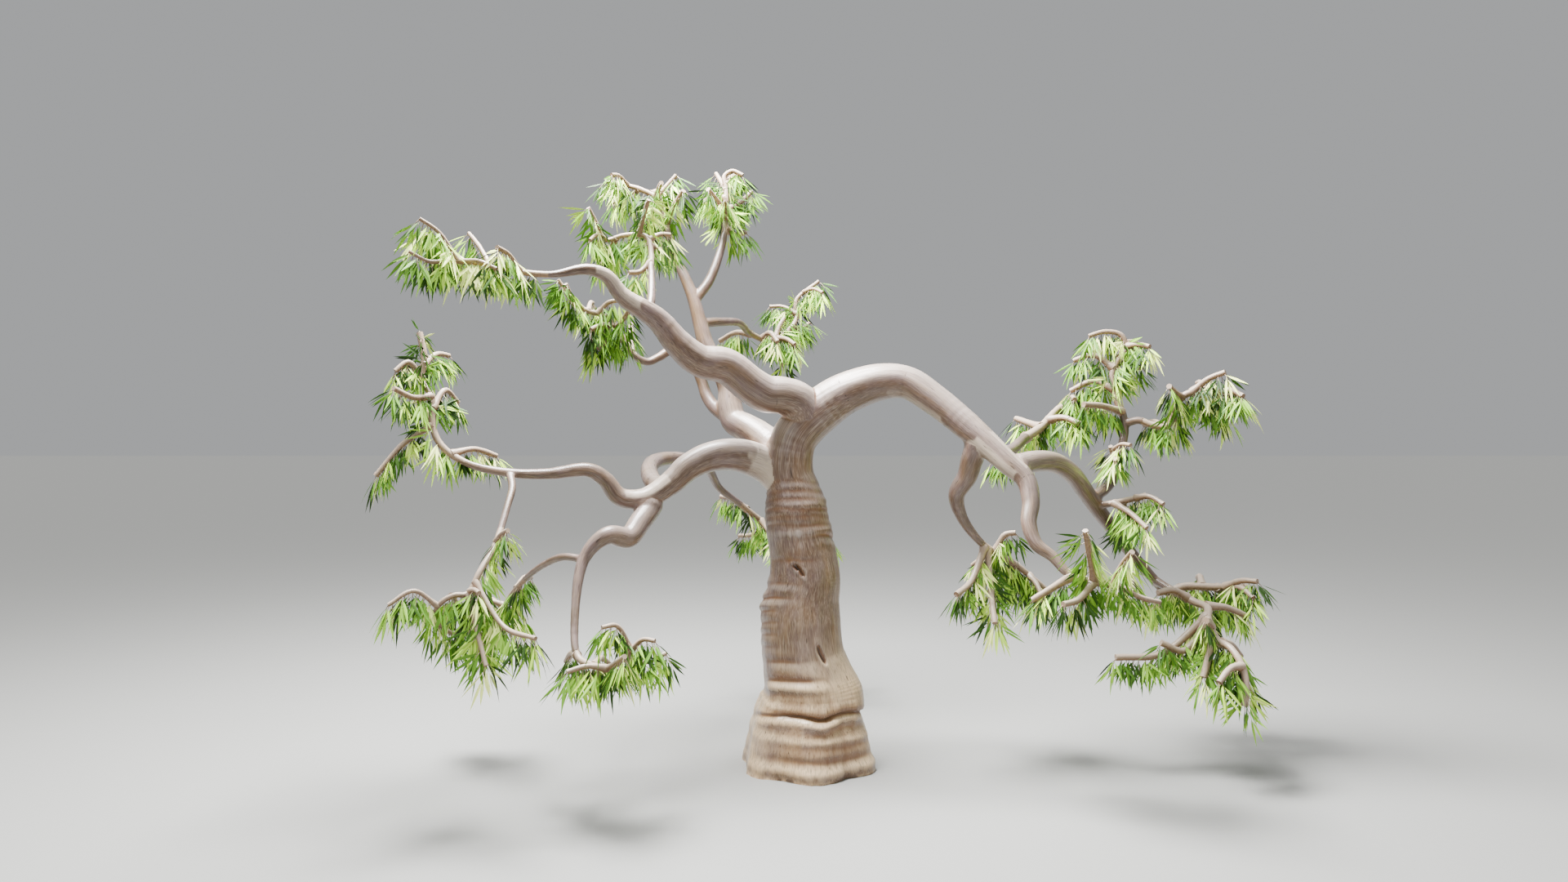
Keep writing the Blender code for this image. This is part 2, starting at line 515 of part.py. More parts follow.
def skin(rings):
    """A closed body through the rings, with a flat face at each end."""
    body = bmesh.new()
    loops = [[body.verts.new(tuple(place)) for place in ring] for ring in rings]
    count = len(rings[0])
    for lower, upper in zip(loops, loops[1:]):
        for side in range(count):
            after = (side + 1) % count
            body.faces.new((lower[side], lower[after], upper[after], upper[side]))
    body.faces.new(reversed(loops[0]))
    body.faces.new(loops[-1])
    bmesh.ops.recalc_face_normals(body, faces=body.faces)
    return body


def add_object(name, body, collection):
    mesh = bpy.data.meshes.new(name)
    body.to_mesh(mesh)
    body.free()
    solid = bpy.data.objects.new(name, mesh)
    collection.objects.link(solid)
    return solid


def tree_of(body):
    """What an overlap test needs of a body: its search tree and its two corners."""
    places = np.array([vert.co[:] for vert in body.verts])
    return BVHTree.FromBMesh(body), places.min(axis=0), places.max(axis=0)


def touches(found, others):
    tree, low, high = found
    for other, other_low, other_high in others:
        if np.all(low < other_high) and np.all(other_low < high) and tree.overlap(other):
            return True
    return False


def keep_main_body(solid):
    """Leaves the largest closed body of a mesh, so that loose scraps and sealed hollows go."""
    body = bmesh.new()
    body.from_mesh(solid.data)
    bmesh.ops.triangulate(body, faces=body.faces)
    bmesh.ops.dissolve_degenerate(body, edges=body.edges, dist=1e-6)
    islands = []
    seen = set()
    for face in body.faces:
        if face in seen:
            continue
        island, edge_of_search = [], [face]
        seen.add(face)
        while edge_of_search:
            current = edge_of_search.pop()
            island.append(current)
            for edge in current.edges:
                for neighbour in edge.link_faces:
                    if neighbour not in seen:
                        seen.add(neighbour)
                        edge_of_search.append(neighbour)
        islands.append(island)
    islands.sort(key=len)
    loose = [face for island in islands[:-1] for face in island]
    bmesh.ops.delete(body, geom=loose, context="FACES")
    body.to_mesh(solid.data)
    body.free()


def fuse(solid, additions):
    """Joins the collection's objects into the solid by one union, then removes them."""
    if additions.objects:
        union = solid.modifiers.new("Union", "BOOLEAN")
        union.operation = "UNION"
        union.operand_type = "COLLECTION"
        union.collection = additions
        union.solver = "EXACT"
        with bpy.context.temp_override(object=solid):
            bpy.ops.object.modifier_apply(modifier=union.name)
        keep_main_body(solid)
    for part in list(additions.objects):
        bpy.data.objects.remove(part)
    bpy.data.collections.remove(additions)


def new_helpers():
    helpers = bpy.data.collections.new("helpers")
    bpy.context.scene.collection.children.link(helpers)
    return helpers


def linear(code):
    """A colour given as an sRGB hex code, as the linear values that a material holds."""
    shares = [int(code[place:place + 2], 16) / 255 for place in (0, 2, 4)]
    return [s / 12.92 if s <= 0.04045 else ((s + 0.055) / 1.055) ** 2.4 for s in shares] + [1.0]


def finish_with(solid, code, roughness):
    material = bpy.data.materials.new(solid.name)
    material.use_nodes = True
    shader = material.node_tree.nodes["Principled BSDF"]
    shader.inputs["Base Color"].default_value = linear(code)
    shader.inputs["Roughness"].default_value = roughness
    shader.inputs["Metallic"].default_value = 0.0
    solid.data.materials.append(material)


def cut_ends(grown, index):
    """Where a piece starts and ends, with half the clearance taken off each end that meets another."""
    start = grown.starts[index]
    end = grown.ends[index]
    if index or grown.limb.parent:
        start += CLEAR / 2
    if index < len(grown.pieces) - 1:
        end -= CLEAR / 2
    return start, end


def make_bare_piece(grown, index, children):
    """A bare length of limb, with the collar of every limb that leaves it fused on."""
    run = grown.pieces[index]
    start, end = cut_ends(grown, index)
    trunk = run.name == "trunk"
    lengths = trunk_lengths(start, end) if trunk else even_lengths(start, end, LIMB_RING_STEP)
    rings = limb_rings(grown, lengths, run.sides, trunk_swell if trunk else None)
    solid = add_object(run.name, skin(rings), bpy.context.scene.collection)
    collars = new_helpers()
    for child in children:
        if grown.piece_at(child.limb.leaves_at) == run.name:
            sides = child.pieces[0].sides if child.limb.runs else COLLAR_SIDES
            reach = even_lengths(0.0, child.limb.collar - CLEAR / 2, COLLAR_RING_STEP)
            stub = limb_rings(child, reach, sides)
            add_object("collar", skin(stub), collars)
    fuse(solid, collars)
    solid.data.shade_smooth()
    solid.data.set_sharp_from_angle(angle=SHARP_EDGE)
    finish_with(solid, *BARK[run.bark])
    return solid


def leaf_body(root, direction, face, length, grow=0.0):
    """A lance-shaped leaf of eight faces, from its root along the direction, facing the way given."""
    side = unit(np.cross(direction, face))
    face = np.cross(side, direction)
    belly = root + direction * length * LEAF_BELLY
    width = LEAF_WIDTH / 2 + grow
    depth = LEAF_THICKNESS / 2 + grow
    rim = [belly + side * width, belly + face * depth, belly - side * width, belly - face * depth]
    body = bmesh.new()
    tip = body.verts.new(tuple(root + direction * (length + grow)))
    foot = body.verts.new(tuple(root))
    around = [body.verts.new(tuple(place)) for place in rim]
    for place, after in zip(around, around[1:] + around[:1]):
        body.faces.new((foot, after, place))
        body.faces.new((tip, place, after))
    bmesh.ops.recalc_face_normals(body, faces=body.faces)
    return body


def twig_line(stem, share, reach, arch):
    """The middle line of a side twig that leaves the stem and arches on its way to its tip."""
    place, *_ = stem.at(share)
    tip = place + np.array(reach)
    middle = (place + tip) / 2 + np.array([0.0, 0.0, arch])
    return MiddleLine([tuple(place), tuple(middle), tuple(tip)])


class Twig:
    """A tapering twig along a middle line, thick at its root and blunt at its tip."""

    def __init__(self, line, root_radius, tip_radius, start=0.0):
        self.line = line
        self.root_radius = root_radius
        self.tip_radius = tip_radius
        self.start = start
        self.length = line.lengths[-1]

    def radius(self, length):
        share = (length - self.start) / (self.length - self.start)
        return self.root_radius + (self.tip_radius - self.root_radius) * share

    def body(self, sides, grow=0.0, start=None):
        start = self.start if start is None else start
        count = max(2, round((self.length - start) / TWIG_RING_STEP))
        rings = []
        for length in np.linspace(start, self.length, count + 1):
            place, _, across, over = self.line.at(length)
            radius = self.radius(length) + grow
            angles = [2 * math.pi * side / sides for side in range(sides)]
            rings.append([place + radius * (math.cos(a) * across + math.sin(a) * over) for a in angles])
        return skin(rings)


class Stem:
    """The part of a limb's middle line that its foliage grows round, read from 0 to 1."""

    def __init__(self, grown):
        self.grown = grown
        self.start = grown.starts[-1]
        self.length = grown.ends[-1] - self.start

    def at(self, share):
        return self.grown.line.at(self.start + share * self.length)

    def radius(self, share):
        return self.grown.radius(self.start + share * self.length)


def leaf_direction(dice, along, turn):
    """Which way a leaf points: out from its twig and down, on one side and the other by turns."""
    down = np.array([0.0, 0.0, -1.0])
    level = np.cross(along, down)
    steep = np.linalg.norm(level)
    if steep < UPRIGHT:
        around = dice.uniform(0, 2 * math.pi)
        out = np.array([math.cos(around), math.sin(around), 0.0])
        hang = dice.uniform(*UPRIGHT_HANG)
    else:
        out = level / steep * (1 if turn % 2 else -1)
        hang = dice.uniform(*LEVEL_HANG) * steep
    forward = dice.uniform(*LEAF_FORWARD)
    scatter = np.array([dice.uniform(-LEAF_SCATTER, LEAF_SCATTER) for _ in range(3)])
    return unit(out + down * hang + along * forward + scatter)


def grow_foliage(grown, limbs_taken, masses_taken):
    """One mass: its stem, side twigs, small shoots and leaves, each skipped where it would touch."""
    plan = grown.limb.foliage
    dice = random.Random(plan.seed)
    stem = Stem(grown)
    helpers = new_helpers()
    start, end = cut_ends(grown, len(grown.pieces) - 1)
    rings = limb_rings(grown, even_lengths(start, end, STEM_RING_STEP), STEM_SIDES)
    solid = add_object(plan.name, skin(rings), bpy.context.scene.collection)
    others = limbs_taken + masses_taken
    wood = [(None, tree_of(skin(rings)))]
    carriers = [Twig(grown.line, stem.radius(0), stem.radius(1), start)]

    def try_twig(share, reach, arch):
        root = TWIG_SHARE * stem.radius(share)
        twig = Twig(twig_line(stem, share, reach, arch), root, TWIG_TAPER * root)
        whole = tree_of(twig.body(TWIG_SIDES, SPACE_LEFT))
        outer = tree_of(twig.body(TWIG_SIDES, SPACE_LEFT, start=TWIG_CLEARS * stem.radius(share)))
        low = whole[1][2] < LOWEST
        if low or touches(whole, others) or touches(outer, [tree for _, tree in wood]):
            return
        body = twig.body(TWIG_SIDES)
        wood.append((len(carriers), tree_of(body)))
        carriers.append(twig)
        add_object("twig", body, helpers)

    for share, *reach, arch in plan.twigs:
        try_twig(min(share, TWIG_LAST), reach, arch)
    for shoot in range(plan.shoots):
        share = (shoot + dice.uniform(*SHOOT_PLACE)) / plan.shoots
        heading = dice.uniform(0, 2 * math.pi)
        length = dice.uniform(*SHOOT_LENGTH)
        rise = dice.uniform(*SHOOT_RISE)
        reach = [length * math.cos(heading), length * math.sin(heading), length * rise]
        try_twig(min(share, TWIG_LAST), reach, SHOOT_ARCH * length)

    leaves = []
    for index, twig in enumerate(carriers):
        span = twig.length - twig.start
        bare = twig.start + BARE_SHARE * span
        count = max(1, round((twig.length - bare) / LEAF_STEP))
        for turn in range(count + 1):
            length = min(bare + (turn + 0.5) * (twig.length - bare) / count, twig.length - LEAF_THICKNESS)
            place, along, *_ = twig.line.at(length)
            direction = leaf_direction(dice, along, turn)
            if turn >= count:
                direction = unit(direction + TIP_FORWARD * along)
            face = unit(np.array([dice.uniform(-1, 1), dice.uniform(-1, 1), dice.uniform(-0.6, 0.6)]))
            radius = twig.radius(length)
            size = LEAF_LENGTH * dice.uniform(*LEAF_SPREAD) + LEAF_SINK * radius
            root = place - direction * LEAF_SINK * radius
            skip = LEAF_CLEARS * radius
            outer = leaf_body(root + direction * skip, direction, face, size - skip, SPACE_LEFT / 2)
            test = tree_of(outer)
            near_wood = [tree for carrier, tree in wood if carrier != (index or None)]
            if test[1][2] < LOWEST or touches(test, others + near_wood + leaves):
                continue
            leaves.append(test)
            add_object("leaf", leaf_body(root, direction, face, size), helpers)
    fuse(solid, helpers)
    solid.data.polygons.foreach_set("use_smooth", [False] * len(solid.data.polygons))
    finish_with(solid, *LEAF_GREEN)
    print(plan.name, len(leaves), "leaves", len(carriers) - 1, "twigs")
    return solid


def shape_of(solid):
    shape = bmesh.new()
    shape.from_mesh(solid.data)
    found = tree_of(shape)
    shape.free()
    return found


def build():
    for old in list(bpy.data.objects):
        bpy.data.objects.remove(old)
    grown = {}
    for limb in TREE:
        grown[limb.name] = Grown(limb, grown)
    limbs_taken = []
    for limb in grown.values():
        children = [child for child in grown.values() if child.limb.parent == limb.limb.name]
        for index in range(len(limb.limb.runs)):
            limbs_taken.append(shape_of(make_bare_piece(limb, index, children)))
    masses_taken = []
    for limb in grown.values():
        masses_taken.append(shape_of(grow_foliage(limb, limbs_taken, masses_taken)))


if __name__ == "__main__":
    build()
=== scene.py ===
# %% [markdown]
# A scribbly gum, the low and crooked eucalypt of poor sandstone country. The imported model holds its
# plain solids: a trunk with a swollen foot, bare winding boughs, and masses of large leaves on thick
# twigs. This file gives it its looks. The steps are the camera, the limbs' middle lines, one grown skin
# of bark over trunk and boughs, the twigs, the leaves, and at the end the floor and the light.

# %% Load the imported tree
import json
import math
import random
from itertools import product
from typing import NamedTuple

import bpy
import numpy as np
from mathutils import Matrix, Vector

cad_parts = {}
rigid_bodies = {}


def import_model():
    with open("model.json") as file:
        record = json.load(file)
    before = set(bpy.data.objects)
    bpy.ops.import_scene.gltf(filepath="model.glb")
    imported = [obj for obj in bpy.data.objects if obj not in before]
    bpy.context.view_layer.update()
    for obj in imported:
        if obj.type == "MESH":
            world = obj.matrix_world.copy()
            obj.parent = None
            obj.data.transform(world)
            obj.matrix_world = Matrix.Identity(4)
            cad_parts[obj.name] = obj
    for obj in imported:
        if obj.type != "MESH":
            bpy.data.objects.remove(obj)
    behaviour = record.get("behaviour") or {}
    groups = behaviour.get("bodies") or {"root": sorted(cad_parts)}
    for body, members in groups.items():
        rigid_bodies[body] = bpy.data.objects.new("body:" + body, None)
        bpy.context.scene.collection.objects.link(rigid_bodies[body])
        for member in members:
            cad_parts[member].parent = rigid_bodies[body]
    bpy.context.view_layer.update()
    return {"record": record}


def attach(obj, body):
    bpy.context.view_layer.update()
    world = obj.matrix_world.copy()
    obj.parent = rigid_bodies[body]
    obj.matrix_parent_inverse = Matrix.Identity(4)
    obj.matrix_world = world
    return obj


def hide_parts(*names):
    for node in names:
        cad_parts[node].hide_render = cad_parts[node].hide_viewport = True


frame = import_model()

# %% [markdown]
# The camera comes first, so that every later piece can be looked at as the photograph shows it. The
# tree is seen level, from the height of its fork. The lens follows from how far apart two places on the
# tree lie in the picture: the focal length was worked out in the picture's pixels, and the sensor's
# width turns it into millimetres.

# %% The camera
PICTURE_WIDTH_PX = 1920
FOCAL_LENGTH_PX = 1304
SENSOR_MM = 36.0
CAMERA_PLACE = (-0.2135, -9.6, 2.908)

bpy.ops.object.camera_add(location=CAMERA_PLACE, rotation=(math.radians(90), 0, 0))
camera = bpy.context.object
camera.name = "camera"
camera.data.sensor_width = SENSOR_MM
camera.data.lens = SENSOR_MM * FOCAL_LENGTH_PX / PICTURE_WIDTH_PX
bpy.context.scene.camera = camera
print("lens:", round(camera.data.lens, 2), "mm")

# %% [markdown]
# Every limb is a middle line through a few bends, with its half-thickness at even shares of the way.
# The solids were grown from these same numbers, so all of them are repeated here, in metres. A run is
# one bare piece of a limb, and the foliage is the stem that goes on from the limb's tip with its side
# twigs. A twig is the share of the stem at which it leaves, where its tip lies from there, and how far
# it arches. Last come the number of shoots that the seeded rule adds, and its seed.

# %% The limbs
class Run(NamedTuple):
    name: str
    bends: tuple
    radii: tuple


class Foliage(NamedTuple):
    name: str
    bends: tuple
    radii: tuple
    twigs: tuple
    shoots: int
    seed: int


class Limb(NamedTuple):
    name: str
    parent: str
    leaves_at: float  # metres along its parent
    collar: float  # metres from there to where it has its own thickness and its first piece starts
    runs: tuple
    foliage: Foliage


TREE = (
    Limb("leader", "", 0.0, 0.0, (
        Run("trunk",
            ((0, 0, 0), (0, 0, 0.40), (0.02, 0, 0.66), (-0.05, 0.01, 1.05), (-0.06, 0.02, 1.45),
             (-0.03, 0.02, 1.70), (-0.09, 0.01, 2.15), (-0.12, 0, 2.42), (-0.165, 0, 2.68), (-0.13, 0, 2.91),
             (-0.01, 0.01, 3.08), (0.17, 0, 3.23)),
            (0.590, 0.524, 0.425, 0.370, 0.355, 0.325, 0.292, 0.274, 0.216, 0.208, 0.212, 0.192)),
        Run("right_bough_arch",
            ((0.34, -0.01, 3.335), (0.64, -0.04, 3.435)),
            (0.188, 0.150)),
        Run("right_bough_shoulder",
            ((0.88, -0.08, 3.43), (1.12, -0.18, 3.27), (1.46, -0.38, 2.96), (1.69, -0.55, 2.72)),
            (0.148, 0.126, 0.084)),
        Run("right_bough_fall",
            ((1.82, -0.64, 2.58), (1.84, -0.74, 2.40), (1.80, -0.84, 2.23), (1.84, -0.93, 2.07),
             (1.96, -1.00, 1.97)),
            (0.082, 0.062, 0.038)),
    ), Foliage("right_bough_foliage",
        ((2.06, -1.08, 1.85), (2.24, -1.15, 1.79), (2.45, -1.20, 1.75), (2.61, -1.20, 1.67),
         (2.77, -1.15, 1.63)),
        (0.032, 0.018),
        ((0.05, -0.30, 0.09, -0.21, 0.0), (0.27, -0.31, -0.25, -0.14, -0.05),
         (0.27, -0.14, -0.25, 0.43, 0.02), (0.45, 0.05, -0.33, 0.30, 0.03), (0.66, 0.10, 0.30, 0.12, 0.05)),
        1, 11)),
    Limb("upper_left", "leader", 3.10, 0.50, (
        Run("upper_left_bough",
            ((-0.03, -0.03, 3.16), (-0.09, -0.07, 3.26), (-0.24, -0.13, 3.315), (-0.37, -0.175, 3.325),
             (-0.50, -0.23, 3.395), (-0.72, -0.32, 3.56), (-0.94, -0.42, 3.60), (-1.11, -0.50, 3.73),
             (-1.29, -0.58, 3.94), (-1.56, -0.72, 4.12), (-1.68, -0.82, 4.27), (-1.82, -0.90, 4.31)),
            (0.166, 0.156, 0.108, 0.064, 0.028)),
    ), Foliage("upper_left_foliage",
        ((-2.08, -1.02, 4.25), (-2.27, -1.10, 4.25), (-2.42, -1.20, 4.27), (-2.60, -1.33, 4.29),
         (-2.79, -1.50, 4.28)),
        (0.026, 0.017),
        ((0.30, -0.10, -0.30, 0.14, 0.04), (0.58, -0.27, 0.35, 0.32, 0.02), (0.83, -0.36, 0.10, 0.24, 0.03),
         (0.88, -0.25, -0.14, 0.30, 0.06), (1.0, -0.24, -0.18, 0.04, -0.04)),
        1, 23)),
    Limb("riser", "upper_left", 1.86, 0.14, (
        Run("left_riser",
            ((-1.35, -0.50, 4.11), (-1.37, -0.30, 4.34)),
            (0.036, 0.028)),
    ), Foliage("left_riser_foliage",
        ((-1.39, -0.18, 4.46), (-1.40, -0.08, 4.57), (-1.46, 0.05, 4.76), (-1.67, 0.10, 4.78),
         (-1.84, 0.10, 4.74), (-1.91, 0.03, 4.88), (-1.97, -0.05, 5.00)),
        (0.026, 0.018),
        ((0.05, -0.18, -0.14, -0.12, -0.04), (0.23, 0.19, 0.24, 0.05, -0.03),
         (0.42, 0.11, -0.17, 0.28, 0.02), (0.61, -0.21, 0.24, -0.18, -0.03),
         (0.70, -0.10, -0.26, -0.05, 0.05)),
        1, 31)),
    Limb("lower_left", "leader", 2.50, 0.46, (
        Run("lower_left_bough",
            ((-0.38, 0.00, 2.69), (-0.62, -0.08, 2.78), (-0.85, -0.18, 2.77), (-1.05, -0.27, 2.68),
             (-1.20, -0.34, 2.54), (-1.42, -0.42, 2.41), (-1.62, -0.48, 2.43), (-1.74, -0.52, 2.58),
             (-1.87, -0.56, 2.66), (-2.20, -0.62, 2.63), (-2.52, -0.66, 2.64)),
            (0.155, 0.116, 0.078, 0.048, 0.030)),
    ), Foliage("lower_left_foliage",
        ((-2.86, -0.70, 2.72), (-3.07, -0.72, 2.87), (-3.15, -0.70, 3.03), (-3.17, -0.66, 3.28),
         (-3.27, -0.62, 3.43), (-3.26, -0.58, 3.60), (-3.31, -0.55, 3.83)),
        (0.029, 0.028, 0.027),
        ((0.12, 0.30, 0.30, -0.02, 0.05), (0.35, -0.41, -0.17, -0.42, 0.06), (0.46, 0.12, 0.30, 0.06, 0.13),
         (0.54, -0.19, -0.36, 0.05, -0.04), (0.68, -0.17, -0.14, 0.06, 0.11),
         (0.78, 0.12, 0.30, 0.10, 0.05)),
        1, 41)),
    Limb("behind_trunk", "lower_left", 1.38, 0.16, (
        Run("back_loop_branch",
            ((-1.37, -0.20, 2.55), (-1.44, 0.10, 2.66), (-1.40, 0.40, 2.725), (-1.19, 0.80, 2.735),
             (-0.99, 1.20, 2.63), (-0.89, 1.50, 2.42)),
            (0.080, 0.068, 0.046, 0.036)),
    ), Foliage("back_loop_foliage",
        ((-0.70, 1.75, 2.25), (-0.42, 2.00, 2.02), (-0.17, 2.10, 1.92), (0.10, 2.15, 1.87),
         (0.32, 2.10, 1.80)),
        (0.034, 0.020),
        ((0.12, -0.30, 0.40, 0.12, 0.04), (0.30, 0.30, -0.30, -0.30, -0.04),
         (0.38, -0.32, 0.32, -0.16, -0.05), (0.58, 0.33, 0.50, 0.05, 0.04), (0.80, 0.12, -0.36, 0.02, 0.05)),
        1, 53)),
    Limb("drooping", "lower_left", 1.48, 0.20, (
        Run("drooping_left_branch",
            ((-1.37, -0.43, 2.33), (-1.44, -0.55, 2.21), (-1.52, -0.68, 2.10), (-1.66, -0.80, 2.13),
             (-1.77, -0.84, 2.06), (-1.85, -0.88, 1.94), (-1.88, -0.96, 1.80), (-1.88, -1.10, 1.57)),
            (0.098, 0.084, 0.050, 0.034, 0.030)),
    ), Foliage("drooping_left_foliage",
        ((-1.84, -1.30, 1.29), (-1.79, -1.37, 1.22), (-1.67, -1.45, 1.19), (-1.54, -1.50, 1.18),
         (-1.44, -1.52, 1.25), (-1.36, -1.50, 1.33)),
        (0.029, 0.021),
        ((0.10, -0.14, 0.26, -0.10, 0.04), (0.40, 0.06, 0.36, -0.06, 0.05), (0.62, 0.17, -0.35, 0.16, 0.0),
         (0.84, 0.30, 0.20, 0.0, -0.05), (1.0, -0.20, -0.15, 0.20, 0.10), (0.95, 0.20, -0.10, 0.10, 0.05)),
        1, 61)),
    Limb("low_left", "drooping", 0.98, 0.11, (
        Run("low_left_branch",
            ((-2.03, -0.80, 1.95), (-2.21, -0.66, 1.88)),
            (0.034, 0.027)),
    ), Foliage("low_left_foliage",
        ((-2.42, -0.45, 1.74), (-2.59, -0.25, 1.58), (-2.76, -0.05, 1.39), (-2.97, 0.10, 1.24),
         (-3.13, 0.20, 1.14)),
        (0.025, 0.017),
        ((0.20, 0.05, 0.32, 0.05, 0.05), (0.55, 0.16, 0.26, -0.13, 0.06), (0.50, -0.30, 0.22, -0.04, 0.08),
         (0.76, 0.05, -0.28, -0.12, 0.03), (0.81, 0.03, 0.16, -0.28, 0.0)),
        1, 73)),
    Limb("drop_left", "lower_left", 2.80, 0.11, (
        Run("hanging_left_branch",
            ((-2.46, -0.80, 2.52), (-2.46, -0.95, 2.38)),
            (0.031, 0.027)),
    ), Foliage("hanging_left_foliage",
        ((-2.47, -1.12, 2.20), (-2.48, -1.22, 2.10), (-2.54, -1.45, 1.91), (-2.61, -1.55, 1.75),
         (-2.69, -1.60, 1.75), (-2.79, -1.62, 1.69), (-2.87, -1.60, 1.54)),
        (0.027, 0.019),
        ((0.12, 0.12, -0.12, 0.10, 0.02), (0.52, 0.55, -0.38, -0.36, -0.13), (0.62, 0.20, -0.22, -0.50, 0.0),
         (0.86, -0.30, -0.20, 0.04, 0.11), (0.96, 0.24, 0.22, -0.06, -0.10),
         (0.74, -0.06, 0.34, -0.16, 0.05)),
        1, 83)),
    Limb("back", "leader", 2.74, 0.30, (
        Run("back_bough",
            ((-0.44, 0.33, 2.95), (-0.57, 0.43, 3.03), (-0.69, 0.52, 3.10), (-0.73, 0.57, 3.23),
             (-0.74, 0.62, 3.40), (-0.80, 0.66, 3.55), (-0.90, 0.70, 3.70), (-0.97, 0.73, 3.84),
             (-1.03, 0.77, 4.05), (-1.10, 0.82, 4.30), (-1.19, 0.88, 4.52), (-1.30, 0.95, 4.74)),
            (0.150, 0.120, 0.082, 0.056, 0.034)),
    ), Foliage("top_left_foliage",
        ((-1.37, 1.01, 4.98), (-1.42, 1.06, 5.18), (-1.50, 1.10, 5.35), (-1.66, 1.12, 5.44),
         (-1.82, 1.14, 5.49), (-2.02, 1.16, 5.53)),
        (0.032, 0.020),
        ((0.11, 0.20, -0.24, 0.27, 0.02), (0.20, -0.30, 0.20, -0.04, 0.05), (0.42, 0.20, 0.05, 0.24, 0.0),
         (0.50, 0.14, 0.40, 0.10, 0.03), (0.62, -0.34, 0.36, -0.06, -0.03),
         (0.76, -0.10, -0.36, 0.02, 0.04)),
        1, 97)),
    Limb("top", "back", 2.14, 0.17, (
        Run("top_branch",
            ((-0.96, 0.93, 4.48), (-0.87, 1.04, 4.73)),
            (0.050, 0.036)),
    ), Foliage("top_foliage",
        ((-0.82, 1.16, 4.98), (-0.81, 1.28, 5.26), (-0.81, 1.36, 5.50), (-0.83, 1.40, 5.64),
         (-0.75, 1.42, 5.70), (-0.64, 1.40, 5.65)),
        (0.033, 0.022),
        ((0.10, 0.20, 0.20, 0.0, -0.05), (0.22, 0.02, -0.34, 0.12, 0.04), (0.32, -0.16, -0.27, 0.16, 0.0),
         (0.34, 0.26, 0.24, 0.24, -0.03), (0.48, -0.24, 0.22, 0.02, 0.05), (0.58, -0.12, 0.26, 0.24, 0.0)),
        1, 101)),
    Limb("behind_fork", "back", 1.90, 0.16, (
        Run("rear_branch",
            ((-0.86, 0.98, 4.09), (-0.67, 1.24, 4.11)),
            (0.046, 0.036)),
    ), Foliage("rear_foliage",
        ((-0.57, 1.48, 4.03), (-0.36, 1.75, 3.98), (-0.16, 1.95, 4.11), (-0.07, 2.05, 4.27),
         (-0.08, 2.10, 4.45), (0.17, 2.15, 4.67)),
        (0.031, 0.021),
        ((0.02, -0.34, 0.24, -0.05, 0.05), (0.15, 0.17, -0.22, -0.05, 0.08), (0.30, 0.10, 0.12, 0.24, 0.03),
         (0.40, 0.0, 0.06, -0.34, 0.0), (0.52, 0.20, 0.42, 0.09, -0.05), (0.64, -0.30, 0.10, 0.10, 0.04),
         (0.85, 0.20, -0.26, -0.04, 0.04)),
        1, 113)),
    Limb("mid_left", "back", 0.72, 0.40, (
        Run("middle_left_branch",
            ((-0.85, 0.63, 3.20), (-0.96, 0.72, 3.34), (-1.02, 0.77, 3.50), (-1.13, 0.78, 3.70),
             (-1.30, 0.75, 3.79), (-1.42, 0.70, 3.72), (-1.53, 0.64, 3.67)),
            (0.062, 0.048, 0.044, 0.034)),
    ), Foliage("middle_left_foliage",
        ((-1.65, 0.58, 3.73), (-1.79, 0.46, 3.96), (-1.90, 0.40, 4.08), (-2.04, 0.34, 4.12),
         (-2.18, 0.28, 4.19), (-2.23, 0.22, 4.30), (-2.29, 0.18, 4.39)),
        (0.032, 0.018),
        ((0.04, -0.05, 0.36, 0.30, 0.02), (0.18, -0.24, -0.10, -0.10, 0.04), (0.29, 0.16, -0.27, 0.14, 0.0),
         (0.44, -0.17, 0.06, -0.34, 0.0), (0.51, 0.19, -0.03, 0.12, 0.04), (0.60, -0.02, 0.34, 0.12, 0.04),
         (0.66, -0.11, -0.20, 0.20, -0.04)),
        1, 127)),
    Limb("right_inner", "leader", 4.98, 0.18, (
        Run("inner_right_branch",
            ((1.42, -0.33, 2.74), (1.39, -0.27, 2.60), (1.31, -0.20, 2.43), (1.37, -0.12, 2.23)),
            (0.098, 0.080, 0.050, 0.036)),
    ), Foliage("inner_right_foliage",
        ((1.56, -0.03, 1.99), (1.71, 0.03, 1.89), (1.87, 0.08, 1.80), (2.04, 0.12, 1.67),
         (2.21, 0.15, 1.53)),
        (0.033, 0.023),
        ((0.06, -0.32, -0.38, -0.38, -0.10), (0.10, 0.0, -0.33, -0.62, -0.08),
         (0.20, 0.18, -0.05, 0.18, 0.07), (0.30, -0.20, 0.34, -0.12, 0.04), (0.45, -0.08, 0.19, -0.25, 0.0),
         (0.50, 0.10, 0.34, -0.30, 0.0), (0.70, 0.06, -0.26, -0.16, 0.03)),
        1, 131)),
    Limb("right_back", "leader", 5.20, 0.17, (
        Run("right_back_branch",
            ((1.81, -0.13, 2.83),),
            (0.060, 0.046)),
    ), Foliage("right_back_foliage",
        ((1.98, 0.13, 2.93), (2.20, 0.40, 3.04), (2.42, 0.60, 3.22), (2.64, 0.75, 3.30), (2.86, 0.85, 3.32)),
        (0.040, 0.022),
        ((0.05, -0.22, 0.48, -0.24, -0.05), (0.29, -0.14, 0.42, 0.09, 0.0), (0.40, 0.24, -0.26, -0.04, 0.04),
         (0.57, 0.37, 0.40, -0.10, -0.02), (0.72, -0.04, -0.30, 0.02, 0.04)),
        1, 149)),
    Limb("far_right", "leader", 5.38, 0.20, (
        Run("far_right_bough",
            ((1.95, -0.38, 2.73), (2.16, -0.22, 2.72), (2.36, -0.06, 2.62), (2.53, 0.10, 2.45),
